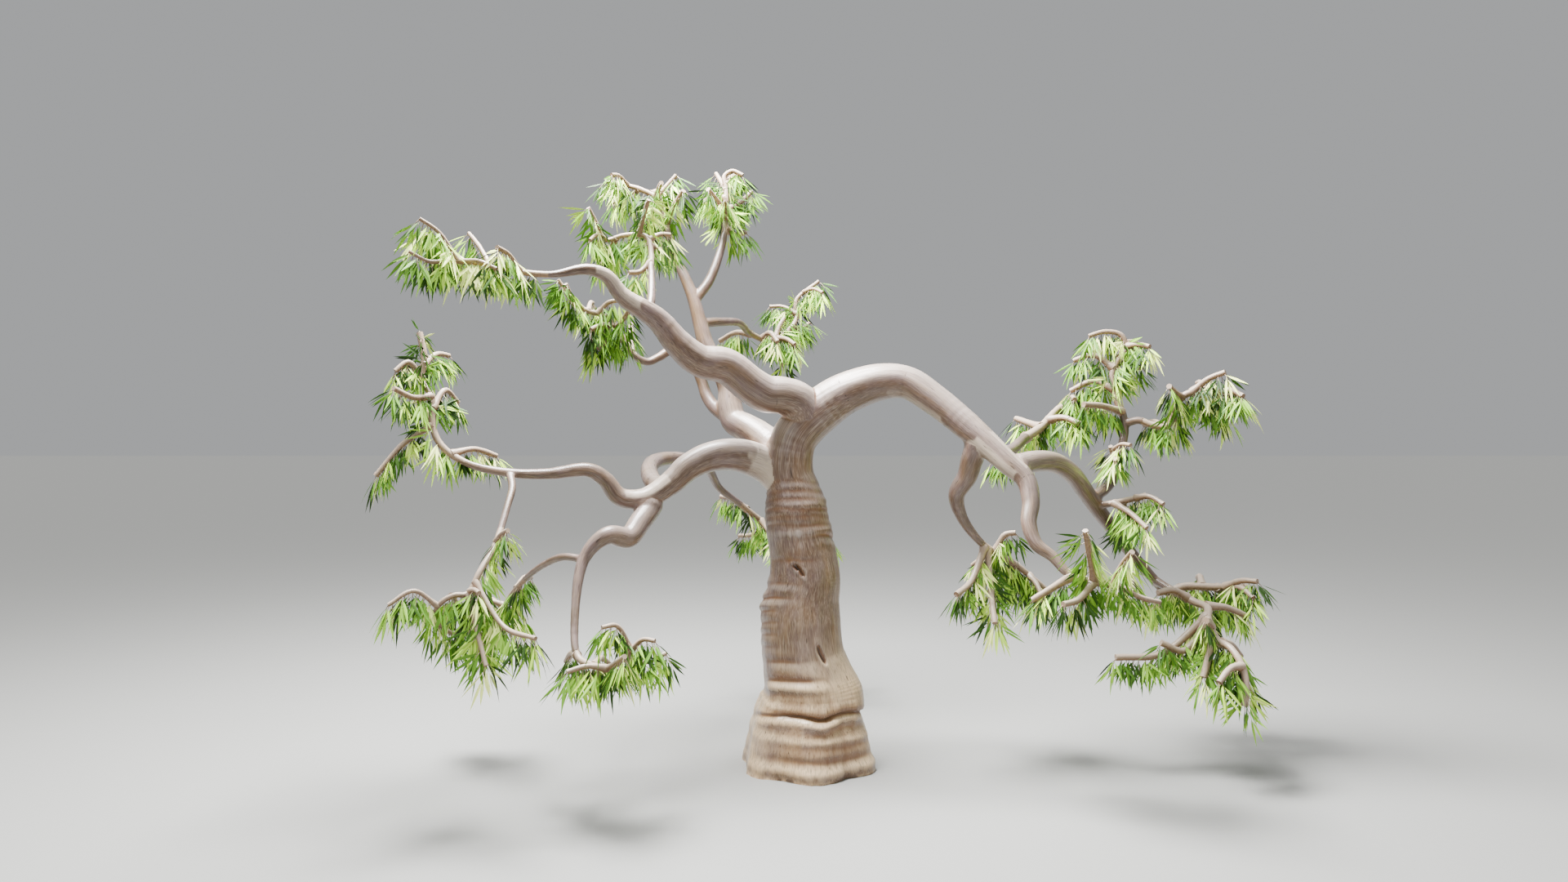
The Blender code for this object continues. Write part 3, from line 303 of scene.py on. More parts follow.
             (2.70, 0.25, 2.26), (2.90, 0.40, 2.05), (3.10, 0.50, 1.82), (3.30, 0.58, 1.61)),
            (0.096, 0.082, 0.064, 0.042)),
    ), Foliage("far_right_foliage",
        ((3.47, 0.62, 1.46), (3.61, 0.61, 1.51), (3.88, 0.52, 1.52), (4.16, 0.45, 1.53)),
        (0.039, 0.031),
        ((0.05, 0.16, 0.40, -0.12, 0.04), (0.19, -0.14, 0.32, -0.24, -0.05), (0.45, 0.10, 0.36, 0.04, 0.05),
         (0.62, 0.37, 0.28, -0.22, -0.03), (0.80, 0.08, -0.30, -0.06, 0.04)),
        1, 151)),
    Limb("right_middle", "far_right", 1.36, 0.17, (), Foliage("right_middle_foliage",
        ((2.76, 0.08, 2.34), (2.88, 0.03, 2.37), (3.05, 0.0, 2.42)),
        (0.030, 0.026),
        ((0.10, 0.18, -0.34, -0.20, 0.02), (0.35, 0.08, 0.24, -0.30, 0.03),
         (0.70, 0.16, -0.26, -0.04, 0.04)),
        1, 163)),
    Limb("lowest_right", "far_right", 2.42, 0.15, (), Foliage("lowest_right_foliage",
        ((3.44, 0.40, 1.50), (3.58, 0.22, 1.42), (3.62, 0.05, 1.40), (3.55, -0.15, 1.32),
         (3.55, -0.35, 1.18), (3.60, -0.50, 1.14), (3.64, -0.62, 1.03), (3.65, -0.70, 0.86),
         (3.62, -0.74, 0.70)),
        (0.038, 0.038, 0.036, 0.027),
        ((0.14, -0.30, -0.08, 0.06, 0.05), (0.28, 0.40, 0.10, -0.10, 0.03),
         (0.40, -0.84, -0.06, -0.36, -0.15), (0.44, -0.42, 0.0, -0.20, -0.17),
         (0.55, -0.14, -0.12, -0.34, 0.0), (0.62, 0.26, 0.22, -0.16, 0.04),
         (0.80, -0.26, -0.16, -0.10, 0.05)),
        1, 173)),
    Limb("upper_right", "far_right", 1.24, 0.16, (
        Run("upper_right_branch",
            ((2.76, 0.24, 2.47), (2.87, 0.28, 2.62), (2.94, 0.34, 2.85), (2.98, 0.38, 3.02)),
            (0.052, 0.040, 0.036)),
    ), Foliage("upper_right_foliage",
        ((2.97, 0.41, 3.16), (2.92, 0.44, 3.30), (2.89, 0.48, 3.51), (2.94, 0.50, 3.65), (3.04, 0.52, 3.78),
         (2.99, 0.54, 3.92), (2.84, 0.56, 3.95), (2.70, 0.58, 3.91)),
        (0.034, 0.031, 0.022),
        ((0.02, -0.44, -0.28, 0.06, 0.02), (0.22, -0.37, 0.14, -0.01, 0.08), (0.31, 0.36, 0.24, 0.13, 0.0),
         (0.40, -0.32, 0.22, 0.09, 0.09), (0.50, 0.14, 0.36, 0.06, 0.04), (0.62, 0.14, -0.24, -0.02, 0.02)),
        1, 181)),
    Limb("right_tuft", "upper_right", 0.52, 0.09, (), Foliage("right_tuft_foliage",
        ((2.82, 0.18, 2.76), (2.76, 0.10, 2.86)),
        (0.024, 0.020),
        ((0.50, -0.06, -0.26, -0.06, 0.04),),
        1, 191)),
    Limb("right_tier", "upper_right", 0.88, 0.13, (), Foliage("right_tier_foliage",
        ((3.10, 0.34, 3.10), (3.20, 0.30, 3.06), (3.33, 0.24, 3.05), (3.39, 0.16, 3.25), (3.45, 0.12, 3.33),
         (3.57, 0.08, 3.36), (3.86, 0.0, 3.31)),
        (0.034, 0.029),
        ((0.22, -0.06, 0.34, 0.02, 0.04), (0.34, 0.20, 0.36, -0.10, 0.0), (0.54, -0.21, -0.26, 0.09, 0.0),
         (0.64, 0.42, 0.20, -0.23, 0.02), (0.74, 0.10, 0.42, 0.10, 0.04), (0.85, 0.10, -0.30, -0.04, 0.04)),
        1, 193)),
)
print("limbs:", len(TREE), "bare pieces:", sum(len(limb.runs) for limb in TREE))

# %% [markdown]
# A branch has no straight edges, so its middle line is a curve that passes through every bend without
# overshooting. Two directions across the limb are carried along it without a twist. With them any place
# on the bark gets its own straightened coordinates: how far along the limb it is, how far round, and
# how far out. The folds, the streaks and the twigs are all placed by these.

# %% Middle lines
CURVE_STEP = 0.02  # metres between the places worked out along a middle line
NEAR_X = 0.8  # the cosine to X up to which the first direction across is taken from X, and then from Y


def smooth_line(bends):
    """Close places along a curve that passes through every bend."""
    bends = [Vector(bend) for bend in bends]
    if len(bends) == 2:
        bends.insert(1, (bends[0] + bends[1]) / 2)
    ends = [2 * bends[0] - bends[1], *bends, 2 * bends[-1] - bends[-2]]
    places = []
    for a, b, c, d in zip(ends, ends[1:], ends[2:], ends[3:]):
        knots = [0.0]
        for near, far in ((a, b), (b, c), (c, d)):
            knots.append(knots[-1] + math.sqrt((far - near).length))
        steps = max(2, round((c - b).length / CURVE_STEP))
        for step in range(steps):
            t = knots[1] + (knots[2] - knots[1]) * step / steps
            first = [near.lerp(far, (t - knots[i]) / (knots[i + 1] - knots[i]))
                     for i, (near, far) in enumerate(((a, b), (b, c), (c, d)))]
            second = [first[i].lerp(first[i + 1], (t - knots[i]) / (knots[i + 2] - knots[i]))
                      for i in range(2)]
            places.append(second[0].lerp(second[1], (t - knots[1]) / (knots[2] - knots[1])))
    places.append(bends[-1])
    return np.array([tuple(place) for place in places])


def unit(rows):
    """Each row made 1 long."""
    return rows / np.linalg.norm(rows, axis=-1, keepdims=True)


class MiddleLine:
    """A curve through the bends, with the direction along it and two across it at every place."""

    def __init__(self, bends):
        self.places = smooth_line(bends)
        steps = np.linalg.norm(np.diff(self.places, axis=0), axis=1)
        self.lengths = np.concatenate([[0.0], np.cumsum(steps)])
        self.along = unit(np.gradient(self.places, self.lengths, axis=0))
        start = np.array([1.0, 0.0, 0.0]) if abs(self.along[0][0]) < NEAR_X else np.array([0.0, 1.0, 0.0])
        across = []
        for direction in self.along:
            start = unit(start - direction * (start @ direction))
            across.append(start)
        self.across = np.array(across)

    def at(self, length):
        """The place, the direction along the limb and the two across it, so far along."""
        place, along, across = (
            np.array([np.interp(length, self.lengths, column) for column in table.T])
            for table in (self.places, self.along, self.across)
        )
        along = unit(along)
        across = unit(across - along * (across @ along))
        return place, along, across, np.cross(along, across)

    def length_at(self, place):
        """How far along the line its nearest place to this one is."""
        return self.lengths[np.argmin(np.linalg.norm(self.places - np.array(place), axis=1))]


# %% Limbs set in their places
COLLAR_SWELL = 0.28  # how much thicker a limb is where it leaves its parent
ROOT_SHARE = 0.8  # of its parent's radius, the most that a limb has where it starts inside its parent
ROOT_WIDENS = 0.35  # how much that limit grows with each metre along the limb
SAME_STATION = 1e-9  # metres between two pieces' stations that count as one


class Grown:
    """A limb in its place: its middle line, where each of its pieces starts, and how thick it is."""

    def __init__(self, limb, parents):
        bends = [bend for run in limb.runs for bend in run.bends] + list(limb.foliage.bends)
        pieces = [*limb.runs, limb.foliage]
        if limb.parent:
            parent = parents[limb.parent]
            bends.insert(0, tuple(parent.line.at(limb.leaves_at)[0]))
            self.root = ROOT_SHARE * parent.radius(limb.leaves_at)
        self.limb = limb
        self.line = MiddleLine(bends)
        self.pieces = pieces
        self.starts = [limb.collar] + [self.line.length_at(piece.bends[0]) for piece in pieces[1:]]
        self.ends = self.starts[1:] + [self.line.lengths[-1]]
        self.stations = np.concatenate([np.linspace(start, end, len(piece.radii))
                                        for piece, start, end in zip(pieces, self.starts, self.ends)])
        self.radii = np.concatenate([piece.radii for piece in pieces])
        for joint in np.flatnonzero(np.diff(self.stations) < SAME_STATION):
            self.radii[joint:joint + 2] = self.radii[joint:joint + 2].mean()

    def radius(self, length):
        """Its half-thickness so far along, with the swelling where it leaves its parent."""
        thickness = np.interp(length, self.stations, self.radii)
        if not self.limb.parent:
            return thickness
        length = np.asarray(length)
        nearness = np.maximum(0.0, 1 - length / self.limb.collar)
        swollen = thickness * (1 + COLLAR_SWELL * nearness ** 2)
        return np.minimum(swollen, self.root + ROOT_WIDENS * length)

    def piece_at(self, length):
        """The name of the piece that is so far along."""
        for piece, start, end in zip(self.pieces, self.starts, self.ends):
            if start <= length < end:
                return piece.name
        return self.pieces[0].name


grown = {}
for limb in TREE:
    grown[limb.name] = Grown(limb, grown)
print("metres of limb:", round(sum(limb.line.lengths[-1] for limb in grown.values()), 1))

# %% [markdown]
# The trunk is modelled by hand from a round cut at the ground: the face is extruded upwards a short
# step at a time, moved over the middle line and scaled to the trunk's thickness there. Operators act on
# all that is selected, so everything else is deselected first.

# %% The trunk's column
COLUMN_SIDES = 64
COLUMN_STEP = 0.06
COLUMN_TOP = 2.3  # the fork's arms are drawn as paths, from lower than this

leader = grown["leader"]
bpy.ops.object.select_all(action="DESELECT")
bpy.ops.mesh.primitive_circle_add(vertices=COLUMN_SIDES, radius=leader.radius(0.0), fill_type="NGON",
                                  location=tuple(leader.line.at(0.0)[0]))
column = bpy.context.object
column.name = "column"
bpy.ops.object.mode_set(mode="EDIT")
bpy.ops.mesh.select_all(action="SELECT")
below = 0.0
for length in np.arange(COLUMN_STEP, COLUMN_TOP, COLUMN_STEP):
    place = leader.line.at(length)[0]
    step = place - leader.line.at(below)[0]
    bpy.ops.mesh.extrude_region_move(TRANSFORM_OT_translate={"value": tuple(step)})
    ratio = float(leader.radius(length) / leader.radius(below))
    bpy.ops.transform.resize(value=(ratio, ratio, 1.0), center_override=tuple(place))
    below = length
bpy.ops.mesh.select_all(action="SELECT")
bpy.ops.mesh.normals_make_consistent(inside=False)
bpy.ops.object.mode_set(mode="OBJECT")
print("column:", len(column.data.vertices), "points")

# %% [markdown]
# The fork's arms, the boughs and the branches are round and bend all ways. The quickest true way to
# such a limb is a path with a round bevel, with the limb's thickness as each point's radius. Every limb
# starts inside its parent and is thinner there than its parent, so that the two can grow together and
# its flat end never shows. Its tip dives a little way into the stem of its foliage.

# %% Limbs as paths
TIP_RUNS_ON = 0.06  # metres that a bare limb goes on inside its foliage's stem
TIP_SINKS = 0.006  # metres that it is thinner there
LIMB_STEP = 0.03
LIMB_POINTS = 4  # the fewest along a limb
ARM_ROUNDNESS = 8
COLUMN_OVERLAP = 0.2  # metres that the leader's path starts below the column's top


def draw_paths(name, paths, roundness):
    """One mesh of round, capped tubes, each from its places and the radius at each of them."""
    bpy.ops.object.select_all(action="DESELECT")
    bpy.ops.curve.primitive_nurbs_path_add(location=(0, 0, 0))
    drawn = bpy.context.object
    drawn.name = name
    shape = drawn.data
    shape.splines.clear()
    shape.bevel_depth = 1.0
    shape.bevel_resolution = roundness
    shape.use_fill_caps = True
    for places, radii in paths:
        spline = shape.splines.new("POLY")
        spline.points.add(len(places) - 1)
        spline.points.foreach_set("co", np.c_[places, np.ones(len(places))].ravel())
        spline.points.foreach_set("radius", np.asarray(radii, float))
    bpy.ops.object.convert(target="MESH")
    return bpy.context.object


def bare_path(limb, start):
    """A limb's places and radii from so far along to just inside its foliage's stem."""
    tip = limb.starts[-1] + TIP_RUNS_ON
    lengths = np.linspace(start, tip, max(LIMB_POINTS, round((tip - start) / LIMB_STEP)))
    radii = limb.radius(lengths) - np.where(lengths > limb.starts[-1], TIP_SINKS, 0.0)
    return np.array([limb.line.at(length)[0] for length in lengths]), radii


paths = [bare_path(limb, 0.0 if limb.limb.parent else COLUMN_TOP - COLUMN_OVERLAP) for limb in grown.values()]
arms = draw_paths("arms", paths, ARM_ROUNDNESS)
print("arms:", len(paths), "tubes")

# %% [markdown]
# On the real tree one living skin of bark runs over the trunk and out along every bough, with no seam
# at a fork. So the column and the tubes are joined and remeshed by voxels, which melts them into one
# closed skin of even, small faces. A voxel of 11 mm keeps the thinnest branch round and leaves room
# for the bark's relief. The foot is then cut flat and closed with one face.

# %% One skin
VOXEL = 0.011
FOOT_CUT = 0.004  # metres above the ground, at which the foot is cut


def select_only(*objects):
    """Selects these objects and nothing else, and makes the first of them the active one."""
    bpy.ops.object.select_all(action="DESELECT")
    for thing in objects:
        thing.select_set(True)
    bpy.context.view_layer.objects.active = objects[0]


select_only(column, arms)
bpy.ops.object.join()
skin = bpy.context.object
skin.name = "skin"
bpy.ops.object.modifier_add(type="REMESH")
skin.modifiers["Remesh"].mode = "VOXEL"
skin.modifiers["Remesh"].voxel_size = VOXEL
bpy.ops.object.modifier_apply(modifier="Remesh")
bpy.ops.object.mode_set(mode="EDIT")
bpy.ops.mesh.select_all(action="SELECT")
bpy.ops.mesh.bisect(plane_co=(0, 0, FOOT_CUT), plane_no=(0, 0, 1), clear_inner=True, use_fill=True)
bpy.ops.object.mode_set(mode="OBJECT")
print("skin:", len(skin.data.vertices), "points,", len(skin.data.polygons), "faces")

# %% [markdown]
# Now each point of the skin is given its straightened coordinates on every limb it is near. The limb
# whose surface it lies on owns it. Where a second limb's surface is almost as near, the point is at a
# fork: there the skin is left to flow from one limb into the other.

# %% Straightened coordinates
NEAR = 1.6  # times a limb's radius, within which a place counts as near it
CHUNK = 4000  # points handled at once
STILL_INSIDE = 0.55  # of its parent's radius, up to which a limb lies wholly inside its parent


def straighten(places, limb, reach):
    """For each place: how far along the limb, how far round it and how far from its middle line."""
    line = limb.line
    count = np.searchsorted(line.lengths, limb.starts[-1] + TIP_RUNS_ON)
    knots = line.places[:count]
    along_all = np.zeros(len(places))
    round_all = np.zeros(len(places))
    out_all = np.full(len(places), np.inf)
    near = np.all((places > knots.min(axis=0) - reach) & (places < knots.max(axis=0) + reach), axis=1)
    near = np.flatnonzero(near)
    for first in range(0, len(near), CHUNK):
        rows = near[first:first + CHUNK]
        here = places[rows]
        gaps = (here ** 2).sum(axis=1)[:, None] - 2 * here @ knots.T + (knots ** 2).sum(axis=1)
        best = np.argmin(gaps, axis=1)
        offset = here - knots[best]
        shift = np.clip((offset * line.along[best]).sum(axis=1), -CURVE_STEP, CURVE_STEP)
        offset -= shift[:, None] * line.along[best]
        over = np.cross(line.along[best], line.across[best])
        along_all[rows] = line.lengths[best] + shift
        round_all[rows] = np.arctan2((offset * over).sum(axis=1), (offset * line.across[best]).sum(axis=1))
        out_all[rows] = np.linalg.norm(offset, axis=1)
    return along_all, round_all, out_all


def values_of(rows, field, kind=float, width=1):
    """One field of all the rows of a mesh's table, as an array with so many columns."""
    values = np.empty(len(rows) * width, kind)
    rows.foreach_get(field, values)
    return values.reshape(-1, width) if width > 1 else values


places = values_of(skin.data.vertices, "co", width=3)
limbs = list(grown.values())
coordinates = np.array([straighten(places, limb, NEAR * limb.radii.max()) for limb in limbs])
depth = []
for limb, (along, _, out) in zip(limbs, coordinates):
    apart = out / limb.radius(along)
    if limb.limb.parent:
        hidden_length = STILL_INSIDE * grown[limb.limb.parent].radius(limb.limb.leaves_at)
        apart[along < hidden_length] = np.inf
    depth.append(apart)
depth = np.array(depth)
order = np.argsort(depth, axis=0)
owner = order[0]
rows = np.arange(len(places))
second = depth[order[1], rows]
along, angle = coordinates[owner, 0, rows], coordinates[owner, 1, rows]
print("owned by the leader:", int((owner == 0).sum()), "of", len(places))

# %% [markdown]
# The wood of two limbs fills the valley between them with a smooth saddle. Each point near a fork is
# moved towards the middle of its neighbours again and again, but only ever outwards, so that the
# valleys fill and no limb gets thinner. On top, where a crotch faces up, the valley stays sharper.

# %% Forks that have grown together
FORK_STARTS = 1.12  # the second limb's depth at which a point is wholly in the fork
FORK_ENDS = 1.7
FORK_ROUNDS = 80
CROTCH_KEEPS = 0.75  # of its sharpness, where the valley between two limbs faces up
CROTCH_FACES = 0.6  # how far up a place faces that is wholly in a crotch
FIRST_ROUNDS = 3  # of plain smoothing, which take the voxels' steps away
FORK_BLENDS = 4  # rounds of averaging that soften the forks' edges, and the crotches'
CROTCH_BLENDS = 8
FILLING_STEP = 0.5  # of the way to the middle of its neighbours that a point goes in a round


def ramp(values, low, high):
    """0 up to the low value and 1 from the high one, with a smooth rise between."""
    share = np.clip((values - low) / (high - low), 0, 1)
    return share * share * (3 - 2 * share)


edges = values_of(skin.data.edges, "vertices", int, 2)
neighbours = np.bincount(edges.ravel(), minlength=len(places))


def averaged(table, rounds=1):
    """The mean over each point's neighbours, so many times over, for a table with a row for each point."""
    for _ in range(rounds):
        flat = table.reshape(len(table), -1)
        total = np.empty_like(flat)
        for column_index in range(flat.shape[1]):
            values = flat[:, column_index]
            total[:, column_index] = (
                np.bincount(edges[:, 0], values[edges[:, 1]], len(table))
                + np.bincount(edges[:, 1], values[edges[:, 0]], len(table))
            )
        table = (total / neighbours[:, None]).reshape(table.shape)
    return table


def normals_of(mesh):
    """The way that each point of the mesh faces."""
    return values_of(mesh.vertex_normals, "vector", width=3)


def put_points(mesh, places):
    """Moves every point of the mesh to its new place."""
    mesh.vertices.foreach_set("co", places.ravel())
    mesh.update()


on_foot = places[:, 2] < FOOT_CUT + VOXEL / 2
smooth = places.copy()
for _ in range(FIRST_ROUNDS):
    smooth = np.where(on_foot[:, None], smooth, (smooth + averaged(smooth)) / 2)
put_points(skin.data, smooth)
fork = averaged(1 - ramp(second, FORK_STARTS, FORK_ENDS), FORK_BLENDS)
crotch = averaged(ramp(normals_of(skin.data)[:, 2], 0.0, CROTCH_FACES), CROTCH_BLENDS)
filling = fork * (1 - CROTCH_KEEPS * crotch)
for _ in range(FORK_ROUNDS):
    step = averaged(smooth) - smooth
    outward = (step * normals_of(skin.data)).sum(axis=1) > 0
    smooth += np.where(outward & ~on_foot, filling, 0.0)[:, None] * step * FILLING_STEP
    put_points(skin.data, smooth)
print("points in forks:", int((fork > 0.5).sum()))

# %% [markdown]
# The bark's relief is worked out in straightened coordinates and moved into the mesh, so that it shows
# in the outline and in the plain mesh too. The foot swells into lobes between its roots. Above it the
# trunk has settled into heavy, sagging rolls, as gums do under their own weight, each with a crease
# under it that the bark later darkens with painted shade, and in two places with a shelf below that.
# Higher up are fine rings, steps on the left side and two old knots, of which the upper has a small
# second slit. All over, the wood's muscles run along the limb.

# %% Smooth noise
NOISE_CELLS = 32


def lumps(places, seed):
    """Smooth noise from -1 to 1, with lumps one unit across."""
    table = np.random.default_rng(seed).uniform(-1, 1, (NOISE_CELLS,) * 3)
    cell = np.floor(places).astype(int)
    share = places - cell
    share = share * share * (3 - 2 * share)
    total = np.zeros(len(places))
    for corner in product((0, 1), repeat=3):
        weight = np.prod(np.where(corner, share, 1 - share), axis=1)
        total += weight * table[tuple(((cell + corner) % NOISE_CELLS).T)]
    return total


print("noise at three places:", lumps(np.eye(3) / 2, 1).round(2))


# %% The trunk's folds
LOBES = 6
LOBE_DEPTH = 0.040
LOBE_HEIGHT = 0.45  # metres up the trunk in which the lobes fall to about a third
LOBE_TURN = math.radians(36)
FOLDS = (  # height, reach up and down, depth
    (0.08, 0.045, 0.016),
    (0.33, 0.060, 0.008),
    (0.53, 0.030, -0.014),
    (0.65, 0.080, 0.018),
    (2.12, 0.040, 0.008),
    (2.36, 0.050, 0.012),
)
FOLD_WANDER = 0.25  # of its reach that a fold runs up and down on its way round
FOLD_TURN = 9  # radians for each metre up, by which each fold does so elsewhere
HIP_HEIGHT = 0.67  # of the swelling on the right side alone
HIP_REACH = 0.10
HIP_DEPTH = 0.034
LEFT_CALM = 0.7  # of a fold's depth that the smooth left flank lacks
STEPS = (  # height, reach and depth of the swellings and hollows on the left side alone
    (1.41, 0.060, 0.020),
    (1.53, 0.035, -0.016),
)


def bell(reaches, power=2):
    """1 in the middle of a feature and about a third one reach away. More power makes a flatter top."""
    return np.exp(-(reaches ** power))


def trunk_swell(height, angle):
    """How far the trunk's skin stands out from its plain taper, as in the solid."""
    swell = LOBE_DEPTH * np.exp(-height / LOBE_HEIGHT) * np.cos(LOBES * (angle - LOBE_TURN))
    left = np.maximum(0.0, -np.cos(angle)) ** 2
    for fold, reach, depth in FOLDS:
        wander = FOLD_WANDER * reach * np.sin(2 * angle + FOLD_TURN * fold)
        swell += depth * (1 - LEFT_CALM * left) * bell((height - fold - wander) / reach)
    right = np.maximum(0.0, np.cos(angle)) ** 2
    swell += HIP_DEPTH * right * bell((height - HIP_HEIGHT) / HIP_REACH)
    for step, reach, depth in STEPS:
        swell += depth * left * bell((height - step) / reach)
    return swell


print("folds:", len(FOLDS), "lobes:", LOBES)

# %% Creases
FRONT = -90.0  # degrees round the trunk: 0 is the right, 90 the back, 180 the left
ALL_ROUND = 1000.0  # so wide that a crease goes all the way round
CREASES = (  # height at the front, reach, depth, the side it faces and how far round it goes, in degrees
    (0.175, 0.036, 0.017, -70, 60),
    (0.285, 0.034, 0.011, -66, 58),
    (0.378, 0.032, 0.009, -64, 58),
    (0.550, 0.024, 0.040, -72, 84),
    (0.650, 0.030, 0.007, -112, 46),
    (0.828, 0.026, 0.020, -120, 42),
    (0.992, 0.022, 0.011, -132, 34),
    (0.140, 0.024, 0.014, 96, 70),
    (0.300, 0.026, 0.018, 104, 62),
    (0.480, 0.024, 0.030, 92, 68),
    (0.640, 0.024, 0.018, 84, 56),
    (0.790, 0.024, 0.020, 100, 60),
    (1.120, 0.026, 0.012, 80, 50),
    (1.700, 0.026, 0.014, 96, 56),
    (1.120, 0.022, 0.006, -158, 28),
    (1.220, 0.024, 0.009, -160, 32),
    (1.325, 0.024, 0.010, -160, 32),
    (1.430, 0.022, 0.011, -160, 34),
    (1.530, 0.022, 0.020, -170, 50),
    (1.650, 0.024, 0.009, -155, 48),
    (1.860, 0.032, 0.009, -110, 50),
    (2.080, 0.026, 0.018, -8, 56),
    (2.180, 0.024, 0.007, FRONT, ALL_ROUND),
    (2.250, 0.024, 0.007, FRONT, ALL_ROUND),
    (2.320, 0.024, 0.010, FRONT, ALL_ROUND),
    (2.395, 0.024, 0.008, FRONT, ALL_ROUND),
    (2.470, 0.024, 0.008, FRONT, ALL_ROUND),
    (2.550, 0.024, 0.006, FRONT, ALL_ROUND),
)
SIDE_FALL = 0.065  # how much lower the creases run at the sides than at the front
MAIN_CREASE = 0.550
LEFT_FALL = 0.04  # how much lower the main crease ends on the left
MAIN_DIP = 0.035  # how far the main crease dips, right of the front
DIP_FACES = -78.0
DIP_REACH = 14.0
CREASE_WANDER = 0.010  # metres that a crease runs up and down on its way round
WANDER_ROUND = 1.3  # lumps of noise from the trunk's middle to its skin, by which it does
WANDER_START = 7.0  # where in the noise the first crease lies, and how far on each next one
WANDER_NEXT = 3.7
EDGE_POWER = 3  # how suddenly a crease ends at its sides, and a shelf
SHELF_POWER = 4
CUT = 0.45  # of a crease's depth that it cuts in
ROLL_OVER = 0.6  # that the roll over it stands out
ROLL_UNDER = 0.5  # that the ledge under it stands out
OVER_PLACE = 1.3  # reaches from the crease up to the roll's crest
OVER_REACH = (1.0, 3.0)  # how steeply it falls away under its crest and above it
UNDER_PLACE = 2.6  # reaches from the crease down to the ledge
UNDER_REACH = 1.7
SAG = 0.12  # of its depth that the roll hangs down
MAIN_SAG = 0.4  # the same at the main crease
SHADE_PLACE = 0.8  # reaches over the crease, where the painted shade on the roll's under side is darkest
SHADE_REACH = 2.1
LEDGE_FACES = -52.0  # degrees round, as in the table
LEDGE_HALF = 34.0
LEDGE_DEPTH = 0.024  # more under the main crease, right of the front
SHELF_CREASE = 0.828
SHELF_FACES = -112.0
SHELF_HALF = 42.0
SHELF_DEPTH = 0.022  # more under the crease over the roll, left of the front


def degrees_from(angle, facing):
    """The angle from the side faced, in degrees from -180 to 180."""
    return (np.degrees(angle) - facing + 180) % 360 - 180


def turn_from(angle, facing):
    """The same to either side, from 0 to 180."""
    return np.abs(degrees_from(angle, facing))


def creases(height, angle):
    """How far the skin moves out and down at the creases, and how much painted shade each place gets under a
    roll.
    """
    moved = np.zeros(len(height))
    sagged = np.zeros(len(height))
    shade_depth = np.zeros(len(height))
    sideways = 1 - np.maximum(0.0, -np.sin(angle))
    for number, (crease, reach, depth, facing, half) in enumerate(CREASES):
        around = np.c_[np.cos(angle) * WANDER_ROUND, np.sin(angle) * WANDER_ROUND,
                       np.full(len(angle), number * WANDER_NEXT)]
        middle = crease + CREASE_WANDER * lumps(around + WANDER_START, 5)
        middle -= SIDE_FALL * sideways ** 2 * min(1.0, crease / MAIN_CREASE)
        strength = depth * bell(turn_from(angle, facing) / half, EDGE_POWER)
        under_depth = ROLL_UNDER * strength
        sag = SAG
        if crease == MAIN_CREASE:
            middle -= MAIN_DIP * bell(turn_from(angle, DIP_FACES) / DIP_REACH)
            middle -= LEFT_FALL * np.maximum(0.0, -np.cos(angle))
            sag = MAIN_SAG
            under_depth += LEDGE_DEPTH * bell(turn_from(angle, LEDGE_FACES) / LEDGE_HALF, SHELF_POWER)
        if crease == SHELF_CREASE:
            under_depth += SHELF_DEPTH * bell(turn_from(angle, SHELF_FACES) / SHELF_HALF, SHELF_POWER)
        from_middle = (height - middle) / reach
        from_crest = from_middle - OVER_PLACE
        over = bell(from_crest / np.where(from_crest < 0, *OVER_REACH))
        under = bell((from_middle + UNDER_PLACE) / UNDER_REACH)
        moved += strength * (ROLL_OVER * over - CUT * bell(from_middle)) + under_depth * under
        sagged += strength * sag * over
        shade_depth += strength * bell((from_middle - SHADE_PLACE) / SHADE_REACH)
    return moved, sagged, shade_depth


print("creases:", len(CREASES))

# %% Knots
KNOTS = (  # height, degrees round, half height, half width, lean
    (1.800, FRONT - 8, 0.074, 0.032, -0.50),
    (1.825, FRONT - 15, 0.040, 0.020, -0.60),
    (1.016, FRONT + 26, 0.115, 0.034, -0.20),
)
KNOT_LIP = 0.006
KNOT_DEPTH = 0.028
KNOT_STAIN = 3.0  # the square of how many times its size the stain reaches
KNOT_BEND = 0.10  # of its half width that the slit bends to either side
BEND_TURN = 2.5  # radians of that bend from the slit's middle to its end
LIP_REACH = 0.45  # of the knot's size that its lip takes
SLIT_SHARE = 0.6  # of the knot's half width that its slit takes
SLIT_END = 0.04  # of its width that a slit keeps at its ends, squared
SLIT_FADES = (-1.0, -0.4)  # minus the knot's squared size, where the slit has run out and where it is whole


def knots(height, angle, radius):
    """Old branch scars: a slit between two swollen lips, with stained bark round it, and how deep each place
    lies in a slit, for its painted shade.
    """
    moved = np.zeros(len(height))
    shade_depth = np.zeros(len(height))
    stain = np.zeros(len(height))
    for middle, facing, half_height, half_width, lean in KNOTS:
        up = height - middle
        aside = np.radians(degrees_from(angle, facing)) * radius - lean * up
        aside += KNOT_BEND * half_width * np.sin(BEND_TURN * up / half_height)
        inside = (up / half_height) ** 2 + (aside / half_width) ** 2
        eye = np.sqrt(inside)
        slit_width = half_width * SLIT_SHARE * np.sqrt(np.clip(1 - (up / half_height) ** 2, SLIT_END, 1))
        slit = bell(aside / slit_width) * ramp(-inside, *SLIT_FADES)
        moved += KNOT_LIP * bell((eye - 1) / LIP_REACH) - KNOT_DEPTH * slit
        shade_depth += KNOT_DEPTH * slit
        stain += np.exp(-inside / KNOT_STAIN)
    return moved, shade_depth, stain


print("knots:", len(KNOTS))

